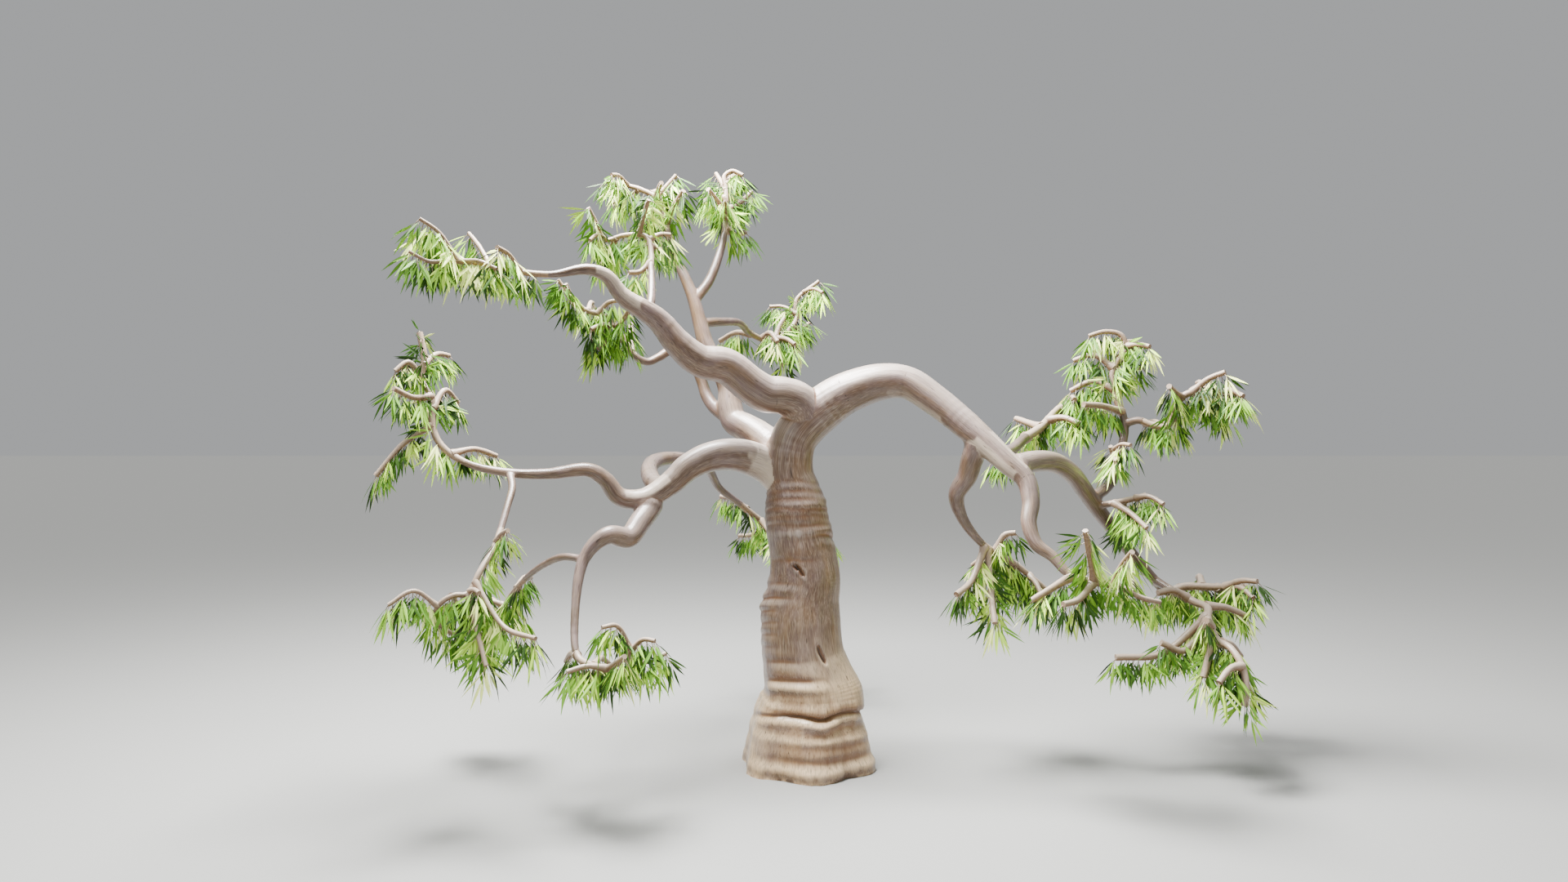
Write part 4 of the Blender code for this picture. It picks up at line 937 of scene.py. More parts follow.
# %% Muscles along the limb
MUSCLE_ROUND = 0.055  # metres from one lump of noise to the next, across the limb
MUSCLE_LENGTH = 0.9  # and along it
MUSCLE_SHARE = 0.035  # of the limb's radius
BROAD_TIMES = 2.4  # how many times as wide the broad muscles are
MID_TIMES = 1.7  # how many times as short the narrow ones are
BROAD_SHARE = 0.6  # of the muscles' height, and the rest is the narrow ones'
LIMBS_APART = 11.3  # how far apart in the noise two limbs lie
RIDGE_ROUND = 0.026
RIDGE_LENGTH = 0.35
RIDGE_DEPTH = 0.0016
WRINKLE_HEIGHT = 0.035
WRINKLE_ROUND = 0.5
WRINKLE_DEPTH = 0.0016
WRINKLED_ROUND = 0.5  # metres round and along, over which wrinkled stretches come and go
WRINKLED_LENGTH = 0.6
WRINKLED_FULL = 0.5  # the noise at which a stretch is wrinkled fully


def muscles(along, angle, radius, owner):
    """The limb's own unevenness: broad muscles, fine lengthwise ridges and faint rings."""
    across = np.c_[np.cos(angle) * radius, np.sin(angle) * radius]
    shift = owner * LIMBS_APART
    broad = lumps(np.c_[across / MUSCLE_ROUND / BROAD_TIMES, along / MUSCLE_LENGTH + shift], 1)
    mid = lumps(np.c_[across / MUSCLE_ROUND, along / MUSCLE_LENGTH * MID_TIMES + shift], 2)
    fine = lumps(np.c_[across / RIDGE_ROUND, along / RIDGE_LENGTH + shift], 3)
    rings = lumps(np.c_[across / WRINKLE_ROUND + shift[:, None], along / WRINKLE_HEIGHT], 4)
    wrinkled = lumps(np.c_[across / WRINKLED_ROUND, along / WRINKLED_LENGTH + shift], 6)
    return (MUSCLE_SHARE * radius * (BROAD_SHARE * broad + (1 - BROAD_SHARE) * mid) + RIDGE_DEPTH * fine
            + WRINKLE_DEPTH * rings * ramp(wrinkled, 0.0, WRINKLED_FULL))


print("a bough 20 cm thick has muscles of up to", round(MUSCLE_SHARE * 100, 1), "mm")

# %% Move the skin
TRUNK_FADES = 0.35  # metres below the trunk's end, over which its folds and creases fade out
FLOOR_GAP = 0.0005  # metres between the foot and the ground
RIDGE_HALF = 0.06  # of a limb's radius, to either side of the line where two limbs have met
RIDGE_CUT = 0.007  # metres that the skin is drawn in along that line

radius = np.zeros(len(places))
for index, limb in enumerate(limbs):
    mine = owner == index
    radius[mine] = limb.radius(along[mine])
trunk_end = leader.starts[1]
on_trunk = (owner == 0) & (along < trunk_end)
fade = ramp(-along, -trunk_end, -trunk_end + TRUNK_FADES) * on_trunk
swell = trunk_swell(along, angle)
creased, sagged, shade_depth = creases(smooth[:, 2], angle)
knotted, slit, stain = knots(along, angle, radius)
relief = fade * (swell + creased + knotted) + muscles(along, angle, radius, owner)
middle = np.empty_like(places)
for index, limb in enumerate(limbs):
    mine = np.flatnonzero(owner == index)
    line = limb.line
    for axis in range(3):
        middle[mine, axis] = np.interp(along[mine], line.lengths, line.places[:, axis])
outward = unit(smooth - middle)
snapped = middle + outward * (radius + relief)[:, None]
at_tip = np.zeros(len(places), bool)
for index, limb in enumerate(limbs):
    at_tip |= (owner == index) & (along > limb.starts[-1] + TIP_RUNS_ON - 2 * VOXEL)
hold = np.where(at_tip, 1.0, fork)[:, None]
meeting = bell((second - depth[order[0], rows]) / RIDGE_HALF) * fork * crotch
free = smooth + normals_of(skin.data) * np.where(at_tip, 0.0, relief - RIDGE_CUT * meeting)[:, None]
final = hold * free + (1 - hold) * snapped
final[:, 2] -= fade * sagged
final[:, 2] = np.where(on_foot, FLOOR_GAP, np.maximum(final[:, 2], FLOOR_GAP))
put_points(skin.data, final)
print("relief from", round(relief.min() * 1000, 1), "to", round(relief.max() * 1000, 1), "mm")

# %% [markdown]
# The colour of bark changes with its place on the tree, so the mesh carries what the material has to
# know about each point: its straightened coordinates, for streaks that follow the limb, how much it is
# part of a fork, where the streaks fade out, how much painted shade it gets in creases, hollows, knot
# slits and where limbs meet, with the real stain round knots, how stout the limb is, how much it faces
# up, for painted light on top and painted shade below, whether old bark was shed there lately, and
# whether it is on the trunk's tan side.

# %% What the bark knows
FORK_CALMS = 0.8  # how far the streaks fade out in a fork
HOLLOW_ROUNDS = 10  # of averaging, which give what lies round a place
STOUT_ROUNDS = 40  # of averaging, which blend a limb's thickness into its parent's
HOLLOW_DEPTH = 0.004  # metres below its surroundings at which a place gets its full painted shade
CREASE_FULL_SHADE = 0.020  # depth of a crease in metres at which its painted shade is as dark as can be
SLIT_FULL_SHADE = 0.020
CREASE_MOST = 1.3  # the most painted shade that a crease gives, and a knot's slit
SLIT_MOST = 1.8
STAIN_DIRT = 0.4  # how much it counts that a place is round a knot, for the real stain there,
RIDGE_SHADE = 1.0  # that it is on the line where two limbs have met, for painted shade there,
CURVE_SHADE = 0.6  # and how far it lies below its surroundings, for painted shade; on the trunk, crests above them get paler
SLOPE_GAIN = 1.1  # how much more the foot's slopes count than a bough's for the painted light and shade, as they are gentler
SLOPES_END = 1.5  # metres up the trunk, to which that goes
SLOPES_FADE = 0.5  # the last metres of it, over which it fades out
UPRIGHT_LOSS = 0.16  # taken off how much the trunk faces up, so that its upright bark gets less painted light
FRESH = (  # limb, from and to so far along, the side that it faces and how far round it goes, in degrees
    ("lower_left", 0.08, 0.50, FRONT, ALL_ROUND),
    ("back", 0.34, 0.66, 60, 110),
    ("leader", 3.98, 4.62, 60, 115),
    ("leader", 5.02, 5.46, 60, 150),
    ("upper_left", 1.95, 2.45, 60, 140),
    ("lower_left", 1.30, 1.75, 60, 120),
)
TAN_FACES = 20.0  # the side of the trunk that is more tan than pink
FRESH_EDGE = 0.03  # metres over which it ends
FRESH_WANDER = 0.10  # metres by which its edge runs in and out
WANDER_SIZE = 0.09  # metres from one such bay to the next
FRESH_BLUR = 8.0  # degrees to either side, over which it ends at its sides
GRAIN_APART = 7.0  # metres between two limbs in the streaks' own space
THINNEST = 0.03  # metres: the radii of the thinnest bare branch and of the foot
STOUTEST = 0.55


def put_attribute(mesh, name, values):
    """Gives every point of the mesh a value or a vector of its own, under this name."""
    kind = "FLOAT_VECTOR" if values.ndim == 2 else "FLOAT"
    field = "vector" if values.ndim == 2 else "value"
    attribute = mesh.attributes.new(name, kind, "POINT")
    attribute.data.foreach_set(field, values.astype(np.float32).ravel())


skin_normals = normals_of(skin.data)
# Painted shade: darker in creases and under the rolls, in knot slits, in hollows and along the lines where
# limbs meet. The real stain round knots is added, and the trunk's crests get paler.
hollow = ((averaged(final, HOLLOW_ROUNDS) - final) * skin_normals).sum(axis=1) / HOLLOW_DEPTH
crease_and_slit_shade = np.clip(shade_depth / CREASE_FULL_SHADE, 0, CREASE_MOST) + np.clip(slit / SLIT_FULL_SHADE, 0, SLIT_MOST)
hollow = (CURVE_SHADE * np.clip(hollow, -fade, 1) + RIDGE_SHADE * meeting
          + fade * (crease_and_slit_shade + STAIN_DIRT * np.clip(stain, 0, 1)))
stout = averaged(np.log(radius / THINNEST) / math.log(STOUTEST / THINNEST), STOUT_ROUNDS)
# How far each point faces up: the bark is painted paler the more it faces up, as painted light, and darker
# brown the more it faces down, as painted shade.
upper = averaged(skin_normals[:, 2], FIRST_ROUNDS)
fresh = np.zeros(len(places))
edge = FRESH_WANDER * lumps(final / WANDER_SIZE, 12)
for name, start, end, facing, half in FRESH:
    index = list(grown).index(name)
    inside = ramp(along - start + edge, 0.0, FRESH_EDGE) * ramp(end - along + edge, 0.0, FRESH_EDGE)
    sideways = ramp(half - turn_from(angle, facing), -FRESH_BLUR, FRESH_BLUR)
    fresh = np.maximum(fresh, np.where(owner == index, inside * sideways, 0.0))
slopes = 1 + SLOPE_GAIN * fade * ramp(SLOPES_END - along, 0.0, SLOPES_FADE)
KNOWN = {
    "grain": np.c_[np.cos(angle) * radius, np.sin(angle) * radius, along + owner * GRAIN_APART],
    "fresh": fresh,
    "tan_side": fade * (0.5 + 0.5 * np.cos(angle - math.radians(TAN_FACES))) ** 2,
    "fork": np.clip(fork * FORK_CALMS, 0, 1),
    "hollow": hollow,
    "stout": np.clip(stout, 0, 1),
    "upper": upper * slopes - UPRIGHT_LOSS * fade,
    "skin_normal": skin_normals,
}
for name, values in KNOWN.items():
    put_attribute(skin.data, name, values)
print("hollow:", [round(float(share), 2) for share in np.percentile(hollow, (5, 50, 95))])

# %% [markdown]
# The skin is cut into the same named pieces as the solids, so that each stands for its own solid. A
# piece runs to the end of the collar of every limb that leaves it. Each face is marked with a material
# named for its piece, and the mesh is separated by material, which is the quickest way by hand. The open
# ends are closed, and the whole skin's normals are put back, so that light crosses the cuts unbroken.

# %% Which piece each face belongs to
names = [run.name for limb in limbs for run in limb.limb.runs]
piece = np.zeros(len(final), int)
for index, limb in enumerate(limbs):
    mine = np.flatnonzero(owner == index)
    if limb.limb.parent:
        root = names.index(grown[limb.limb.parent].piece_at(limb.limb.leaves_at))
    else:
        root = 0
    piece[mine] = root
    for run, start in zip(limb.limb.runs, limb.starts):
        beyond = mine[along[mine] >= (start if limb.limb.parent or start > 0 else -1.0)]
        piece[beyond] = names.index(run.name)
corner_starts = values_of(skin.data.polygons, "loop_start", int)
corner_points = values_of(skin.data.loops, "vertex_index", int)
for name in names:
    skin.data.materials.append(bpy.data.materials.new(name))
skin.data.polygons.foreach_set("material_index", piece[corner_points[corner_starts]])
skin.data.polygons.foreach_set("use_smooth", np.ones(len(skin.data.polygons), bool))
skin.data.update()

# %% Separate the pieces
select_only(skin)
bpy.ops.object.mode_set(mode="EDIT")
bpy.ops.mesh.select_all(action="SELECT")
bpy.ops.mesh.separate(type="MATERIAL")
bpy.ops.object.mode_set(mode="OBJECT")
bark_pieces = {}
for part in list(bpy.context.selected_objects):
    name = part.data.materials[0].name
    part.name = part.data.name = name + "_bark"
    bark_pieces[name] = part
print("bark pieces:", len(bark_pieces))


# %% Close the pieces' ends
def close_ends(part):
    """Fills the open rims, and gives the skin back the normals that it had as one whole."""
    mesh = part.data
    skin_faces = len(mesh.polygons)
    select_only(part)
    bpy.ops.object.mode_set(mode="EDIT")
    bpy.ops.mesh.select_mode(type="EDGE")
    bpy.ops.mesh.select_all(action="DESELECT")
    bpy.ops.mesh.select_non_manifold(extend=False)
    bpy.ops.mesh.fill_holes(sides=0)
    bpy.ops.object.mode_set(mode="OBJECT")
    normals = values_of(mesh.attributes["skin_normal"].data, "vector", width=3)
    sides = values_of(mesh.polygons, "loop_total", int)
    kept = normals[values_of(mesh.loops, "vertex_index", int)]
    kept[sides[:skin_faces].sum():] = 0.0
    mesh.attributes.remove(mesh.attributes["skin_normal"])
    mesh.normals_split_custom_set(kept)
    return len(mesh.polygons) - skin_faces


for name, part in bark_pieces.items():
    caps = close_ends(part)
    print(name, len(part.data.polygons), "faces,", caps, "ends closed")

# %% [markdown]
# A twig of this gum is thick, crooked and blunt, bare on top, and its leaves hang below it. The stem of
# each mass goes on from its limb's tip, and the side twigs leave it where the table says. One more shoot
# is added by the seeded rule of the solids, unless it would meet other wood. On all of these stand fine
# twiglets, which the solids leave out, and the leaves hang from those.

# %% Twigs
TWIG_TAPER = 0.85  # a side twig's thickness at its tip next to that at its root
TWIG_SHARE = 0.92  # a side twig's thickness next to that of the stem it leaves
TWIG_LAST = 0.97  # the last share of a stem at which a twig may leave it
SHOOT_LENGTH = (0.16, 0.34)  # metres
SHOOT_PLACE = (0.3, 0.9)  # the share of the stem at which it stands
SHOOT_RISE = (-0.3, 0.6)  # of its length
SHOOT_ARCH = 0.1  # of its length
TWIG_STEP = 0.025
ROOT_SWELL = 0.45  # how much thicker a side twig is at its root
ROOT_REACH = 0.035  # metres along it in which that falls to about a third
KNOB_SHARE = 0.07  # of a twig's radius that its knobs stand out
KNOB_LENGTH = 0.045
KNOBS_APART = 1.37  # how far apart in the noise the knobs of two twigs lie
TWIG_POINTS = 5  # the fewest along a twig
SHOOT_SEED = 50  # from a mass's own seed to that of its shoot's knobs
SHOOT_CLEARS = 0.03  # metres that a shoot keeps from other wood
OUTER_HALF = (0.45, 0.6, 0.8, 1.0)  # shares of a shoot's length at which that is tested


class Twig:
    """A tapering twig along a middle line, with a swollen root and small knobs."""

    def __init__(self, line, root_radius, tip_radius, start, seed):
        self.line = line
        self.start = start
        self.length = line.lengths[-1]
        self.root_radius = root_radius
        self.tip_radius = tip_radius
        self.seed = seed

    def radius(self, length):
        """Its plain half-thickness so far along."""
        share = (length - self.start) / (self.length - self.start)
        return self.root_radius + (self.tip_radius - self.root_radius) * share

    def path(self, swollen):
        """The twig's places and radii. Its root is swollen up to this length, and not at all if it is 0."""
        points = max(TWIG_POINTS, round((self.length - self.start) / TWIG_STEP))
        lengths = np.linspace(self.start, self.length, points)
        knobs = lumps(np.c_[lengths / KNOB_LENGTH, np.full((points, 2), self.seed * KNOBS_APART)], 8)
        radii = self.radius(lengths) * (1 + KNOB_SHARE * knobs)
        if swollen:
            radii *= 1 + ROOT_SWELL * np.exp(-np.maximum(0.0, lengths - swollen) / ROOT_REACH)
        return np.array([self.line.at(length)[0] for length in lengths]), radii


def side_twig(limb, share, reach, arch, seed):
    """A side twig that leaves the stem and arches on its way to its tip."""
    start, end = limb.starts[-1], limb.ends[-1]
    length = start + share * (end - start)
    place = limb.line.at(length)[0]
    tip = place + np.array(reach)
    middle = (place + tip) / 2 + np.array([0.0, 0.0, arch])
    root = TWIG_SHARE * float(limb.radius(length))
    return Twig(MiddleLine([tuple(place), tuple(middle), tuple(tip)]), root, TWIG_TAPER * root, 0.0, seed)


all_wood = np.concatenate([limb.line.places for limb in limbs])
all_wood_radii = np.concatenate([limb.radius(limb.line.lengths) for limb in limbs])


def meets_wood(twig):
    """Whether the twig's outer half comes too near to any limb or stem."""
    half = [twig.line.at(share * twig.length)[0] for share in OUTER_HALF]
    gaps = np.linalg.norm(all_wood[None] - np.array(half)[:, None], axis=2) - all_wood_radii
    return gaps.min() < twig.root_radius + SHOOT_CLEARS


def twigs_of(limb):
    """The stem of a mass of leaves and its side twigs, and the dice in the state they leave it."""
    plan = limb.limb.foliage
    dice = random.Random(plan.seed)
    start = limb.starts[-1]
    twigs = [Twig(limb.line, float(limb.radius(start)), float(limb.radius(limb.ends[-1])), start, plan.seed)]
    for number, (share, *reach, arch) in enumerate(plan.twigs):
        twigs.append(side_twig(limb, min(share, TWIG_LAST), reach, arch, plan.seed + number))
    for shoot in range(plan.shoots):
        share = (shoot + dice.uniform(*SHOOT_PLACE)) / plan.shoots
        heading = dice.uniform(0, 2 * math.pi)
        length = dice.uniform(*SHOOT_LENGTH)
        rise = dice.uniform(*SHOOT_RISE)
        reach = (length * math.cos(heading), length * math.sin(heading), length * rise)
        twig = side_twig(limb, min(share, TWIG_LAST), reach, SHOOT_ARCH * length, plan.seed + SHOOT_SEED)
        if not meets_wood(twig):
            twigs.append(twig)
    return twigs, dice


print("stems, side twigs and shoots:", sum(len(twigs_of(limb)[0]) for limb in limbs))

# %% [markdown]
# A leaf hangs: it points out from its twig to one side and the other by turns, and mostly down. On a
# twig that stands up the leaves point out all round, and more level here than in the solids. For the
# rest this is the rule of the solids, where one large leaf stands for a spray. Here each is a spray: a
# fine twiglet with a handful of leaves, 16 to 27 cm long and 19 to 26 mm wide, fanned to both sides of
# it. The real tree's leaves are up to 20 cm long; these stay a little larger, as the photograph's do.

# %% Which way leaves hang
LEVEL_HANG = (1.1, 2.8)  # how far a leaf points down for each unit out, on a level twig
UPRIGHT_HANG = (-0.1, 0.6)
UPRIGHT = 0.3  # the sine of a twig's lean up to which it counts as standing up
LEAF_FORWARD = (0.0, 0.5)  # how far it points along its twig for each unit out
LEAF_SCATTER = 0.25
TIP_FORWARD = 0.5  # how much more the last sprays of a twig point along it
BARE_SHARE = 0.12  # of a twig, from its root on, that bears no leaves
DOWN = np.array([0.0, 0.0, -1.0])


def leaf_direction(dice, along, turn):
    """Where the spray of this number points, on a twig that goes along this way."""
    level = np.cross(along, DOWN)
    steep = np.linalg.norm(level)
    if steep < UPRIGHT:
        around = dice.uniform(0, 2 * math.pi)
        out = np.array([math.cos(around), math.sin(around), 0.0])
        hang = dice.uniform(*UPRIGHT_HANG)
    else:
        out = level / steep * (1 if turn % 2 else -1)
        hang = dice.uniform(*LEVEL_HANG) * steep
    forward = dice.uniform(*LEAF_FORWARD)
    scatter = np.array([dice.uniform(-LEAF_SCATTER, LEAF_SCATTER) for _ in range(3)])
    return unit(out + DOWN * hang + along * forward + scatter)


print("a level twig's leaf hangs", [round(math.degrees(math.atan(hang))) for hang in LEVEL_HANG], "degrees")

# %% Sprays
SPRAY_STEP = 0.027  # metres along a twig from one spray to the next
TWIGLET_LENGTH = (0.03, 0.09)  # metres, as are the next
TWIGLET_RADII = (0.0045, 0.0035, 0.0025, 0.0018)
LEAF_LENGTH = (0.16, 0.27)
LEAF_WIDTH = (0.019, 0.026)
LEAVES_PER_SPRAY = (4, 6)
TWIGLET_DROOP = 0.35  # of its length that a twiglet's tip sinks
FAN = (0.10, 0.80)  # tangent of the angle at which a leaf stands off its twiglet
LEAF_DROOP = (0.0, 0.10)  # how far a leaf's tip sinks, as a share of its length
SICKLE = 0.05  # how far it curves to one side
ROOT_INSIDE = 0.5  # of its twig's radius, from the middle line to where a twiglet starts
SIDE_DROOP = 0.3  # how much the plane of a spray leans down
FIRST_LEAF = 0.25  # the share of its twiglet at which the first leaf stands
END_FAN = 0.3  # how much of its fan the last leaf keeps
FAN_SCATTER = 0.35
FACE_SIDE = (0.4, 1.0)  # how far a leaf's face turns to the side of its spray, next to its scatter
FACE_SCATTER = 0.35


def grow_spray(dice, twig, length, turn, at_end, leaves, twiglets, colour):
    """One twiglet with its leaves, added to the lists. A leaf is a row of numbers for leaf_mesh."""
    place, along, *_ = twig.line.at(length)
    direction = leaf_direction(dice, along, turn)
    if at_end:
        direction = unit(direction + TIP_FORWARD * along)
    reach = dice.uniform(*TWIGLET_LENGTH)
    root = place + direction * twig.radius(length) * ROOT_INSIDE
    shares = np.linspace(0, 1, len(TWIGLET_RADII))
    droop = DOWN * reach * TWIGLET_DROOP
    twiglet = root + np.outer(shares, direction * reach) + np.outer(shares ** 2, droop)
    twiglets.append((twiglet, TWIGLET_RADII))
    side = unit(np.cross(direction, unit(along + SIDE_DROOP * DOWN)))
    count = dice.randint(*LEAVES_PER_SPRAY)
    for number in range(count):
        share = FIRST_LEAF + (1 - FIRST_LEAF) * number / (count - 1)
        start = root + direction * reach * share + droop * share ** 2
        heading = unit(direction * reach + 2 * droop * share)
        turned = dice.uniform(*FAN) * (END_FAN if number == count - 1 else 1.0)
        across = unit(np.cross(heading, side)) * (1 if number % 2 else -1)
        across += side * dice.uniform(-FAN_SCATTER, FAN_SCATTER)
        leaf = unit(heading + turned * across)
        facing = unit(side * dice.uniform(*FACE_SIDE) * dice.choice((-1, 1))
                      + np.array([dice.uniform(-FACE_SCATTER, FACE_SCATTER) for _ in range(3)]))
        leaves.append((*start, *leaf, *facing, dice.uniform(*LEAF_LENGTH), dice.uniform(*LEAF_WIDTH),
                       dice.uniform(*LEAF_DROOP), dice.uniform(-SICKLE, SICKLE), colour))


# %% Leaf meshes
LEAF_STATIONS = (0.0, 0.08, 0.24, 0.46, 0.72)  # shares of its length, from the stalk to before its point
LEAF_HALF_WIDTHS = (0.07, 0.09, 0.78, 1.0, 0.62)  # shares of its greatest half width there
LEAF_FOLD = 0.35  # how far its edges rise over the midrib, next to its half width


def leaf_mesh(name, rows):
    """All the leaves of one mass: each a lance-shaped blade, folded along its midrib and curved."""
    table = np.array(rows)
    root, heading, facing = table[:, 0:3], table[:, 3:6], table[:, 6:9]
    length, width, droop, sickle, colour = (table[:, column, None] for column in range(9, 14))
    side = unit(np.cross(heading, facing))
    face = np.cross(side, heading)
    sag = DOWN - heading * (heading @ DOWN)[:, None]
    bend = sag * droop + side * sickle
    ribs = [root + length * (station * heading + station ** 2 * bend) for station in (*LEAF_STATIONS, 1.0)]
    points = []
    for rib, half in zip(ribs, LEAF_HALF_WIDTHS):
        out = side * width / 2 * half
        rise = face * width / 2 * half * LEAF_FOLD
        points += [rib - out + rise, rib, rib + out + rise]
    points.append(ribs[-1])
    per_leaf = len(points)
    points = np.stack(points, axis=1).reshape(-1, 3)
    faces = []
    for first in range(0, per_leaf - 4, 3):
        faces += [(first, first + 1, first + 4, first + 3), (first + 1, first + 2, first + 5, first + 4)]
    last = per_leaf - 1
    faces += [(last - 3, last - 2, last), (last - 2, last - 1, last)]
    all_faces = [tuple(corner + leaf * per_leaf for corner in face)
                 for leaf in range(len(table)) for face in faces]
    mesh = bpy.data.meshes.new(name)
    mesh.from_pydata(points.tolist(), [], all_faces)
    mesh.polygons.foreach_set("use_smooth", np.ones(len(mesh.polygons), bool))
    mesh.polygons.foreach_set("material_index", np.repeat(colour.astype(int), len(faces)))
    return mesh


# %% Grow every mass
# dealt at random by spray; the palest act as painted highlight and the darkest as painted shade
GREENS = ("2A4614", "426A1E", "64942C", "8EBE3E", "C4EA58", "F2FF98")
GREEN_SHARES = (3, 4, 4, 4, 3, 2)  # how often each is dealt, from the darkest on
TIP_BARE = 0.006  # metres from a twig's end to its last spray
STEM_ROUNDNESS = 3
TWIGLET_ROUNDNESS = 0

foliage_pieces = {}
leaf_count = 0
for limb in limbs:
    name = limb.limb.foliage.name
    twigs, dice = twigs_of(limb)
    leaves, twiglets = [], []
    for twig in twigs:
        bare = twig.start + BARE_SHARE * (twig.length - twig.start)
        count = max(2, round((twig.length - bare) / SPRAY_STEP))
        for turn in range(count + 1):
            length = min(bare + (turn + 0.5) * (twig.length - bare) / count, twig.length - TIP_BARE)
            colour = dice.choices(range(len(GREENS)), GREEN_SHARES)[0]
            grow_spray(dice, twig, length, turn, turn >= count - 1, leaves, twiglets, colour)
    leaf_count += len(leaves)
    blades = bpy.data.objects.new(name.replace("_foliage", "_leaves"), leaf_mesh(name + "_leaves", leaves))
    bpy.context.scene.collection.objects.link(blades)
    thick = []
    for number, twig in enumerate(twigs):
        if number:
            thick.append(twig.path(float(limb.radius(limb.starts[-1]))))
        else:
            stem, radii = twig.path(0.0)
            back = limb.starts[-1] - TIP_RUNS_ON
            stem = np.vstack([limb.line.at(back)[0], stem])
            thick.append((stem, np.append(float(limb.radius(back)) - TIP_SINKS, radii)))
    wood = draw_paths("thick", thick, STEM_ROUNDNESS)
    fine = draw_paths("fine", twiglets, TWIGLET_ROUNDNESS)
    select_only(wood, fine)
    bpy.ops.object.join()
    wood.name = wood.data.name = name.replace("_foliage", "_twigs")
    # How far each point faces up, for the painted highlight on the twigs' tops.
    put_attribute(wood.data, "upper", normals_of(wood.data)[:, 2])
    foliage_pieces[name] = (wood, blades)
print("leaves:", leaf_count, "sprays of", LEAVES_PER_SPRAY)

# %% [markdown]
# The materials. Each is a Principled shader with a few nodes for what the eye sees on the real
# surface. Colours are given as they look on a screen, and one function makes them linear.

# %% Helpers for materials
MIX_SHARE, MIX_FIRST, MIX_OTHER, MIX_RESULT = 0, 6, 7, 2  # a colour Mix node's sockets, by number


def linear(code):
    """A colour as it looks on a screen, in six hexadecimal digits, made linear."""
    shares = [int(code[place:place + 2], 16) / 255 for place in (0, 2, 4)]
    return [s / 12.92 if s <= 0.04045 else ((s + 0.055) / 1.055) ** 2.4 for s in shares] + [1.0]


class Finish:
    """A new material, with short ways to add the nodes that the finishes share."""

    def __init__(self, name):
        self.material = bpy.data.materials.new(name)
        self.material.use_nodes = True
        self.tree = self.material.node_tree
        self.inputs = self.tree.nodes["Principled BSDF"].inputs

    def node(self, kind, inputs, **settings):
        """Adds a node with its settings, and sets or links its inputs by name or number."""
        node = self.tree.nodes.new(kind)
        for name, value in settings.items():
            setattr(node, name, value)
        for name, value in inputs.items():
            self.put(node.inputs[name], value)
        return node

    def put(self, socket, value):
        """Sets an input to a value, or links another node's output to it."""
        if isinstance(value, bpy.types.NodeSocket):
            self.tree.links.new(value, socket)
        else:
            socket.default_value = value

    def made(self, **values):
        """The material, with the shader's inputs set or linked. Their names have _ for a space here."""
        for name, value in values.items():
            self.put(self.inputs[name.replace("_", " ")], value)
        return self.material

    def place(self):
        """Where a point lies, in metres from the tree's origin."""
        return self.node("ShaderNodeTexCoord", {}).outputs["Object"]

    def known(self, name, output="Fac"):
        """What the mesh carries for each point under this name."""
        return self.node("ShaderNodeAttribute", {}, attribute_name=name).outputs[output]

    def noise(self, vector, scale, detail):
        """Smooth noise from 0 to 1, with so many lumps to a unit."""
        inputs = {"Vector": vector, "Scale": scale, "Detail": detail}
        return self.node("ShaderNodeTexNoise", inputs).outputs["Fac"]

    def between(self, value, low, high, most=1.0, least=0.0):
        """Runs from the least to the most as the value goes from low to high."""
        inputs = {"Value": value, "From Min": low, "From Max": high, "To Min": least, "To Max": most}
        return self.node("ShaderNodeMapRange", inputs).outputs[0]

    def mixed(self, share, first, other):
        """The first colour, with this share of the other in it."""
        inputs = {MIX_SHARE: share, MIX_FIRST: first, MIX_OTHER: other}
        return self.node("ShaderNodeMix", inputs, data_type="RGBA").outputs[MIX_RESULT]

    def computed(self, operation, *terms):
        """The outcome of one operation on these terms."""
        return self.node("ShaderNodeMath", dict(enumerate(terms)), operation=operation).outputs[0]

    def bump(self, height, strength, distance):
        """Light that falls as if the bark had this fine relief."""
        inputs = {"Height": height, "Strength": strength, "Distance": distance}
        return self.node("ShaderNodeBump", inputs).outputs[0]


print("linear half grey:", round(linear("808080")[0], 3))
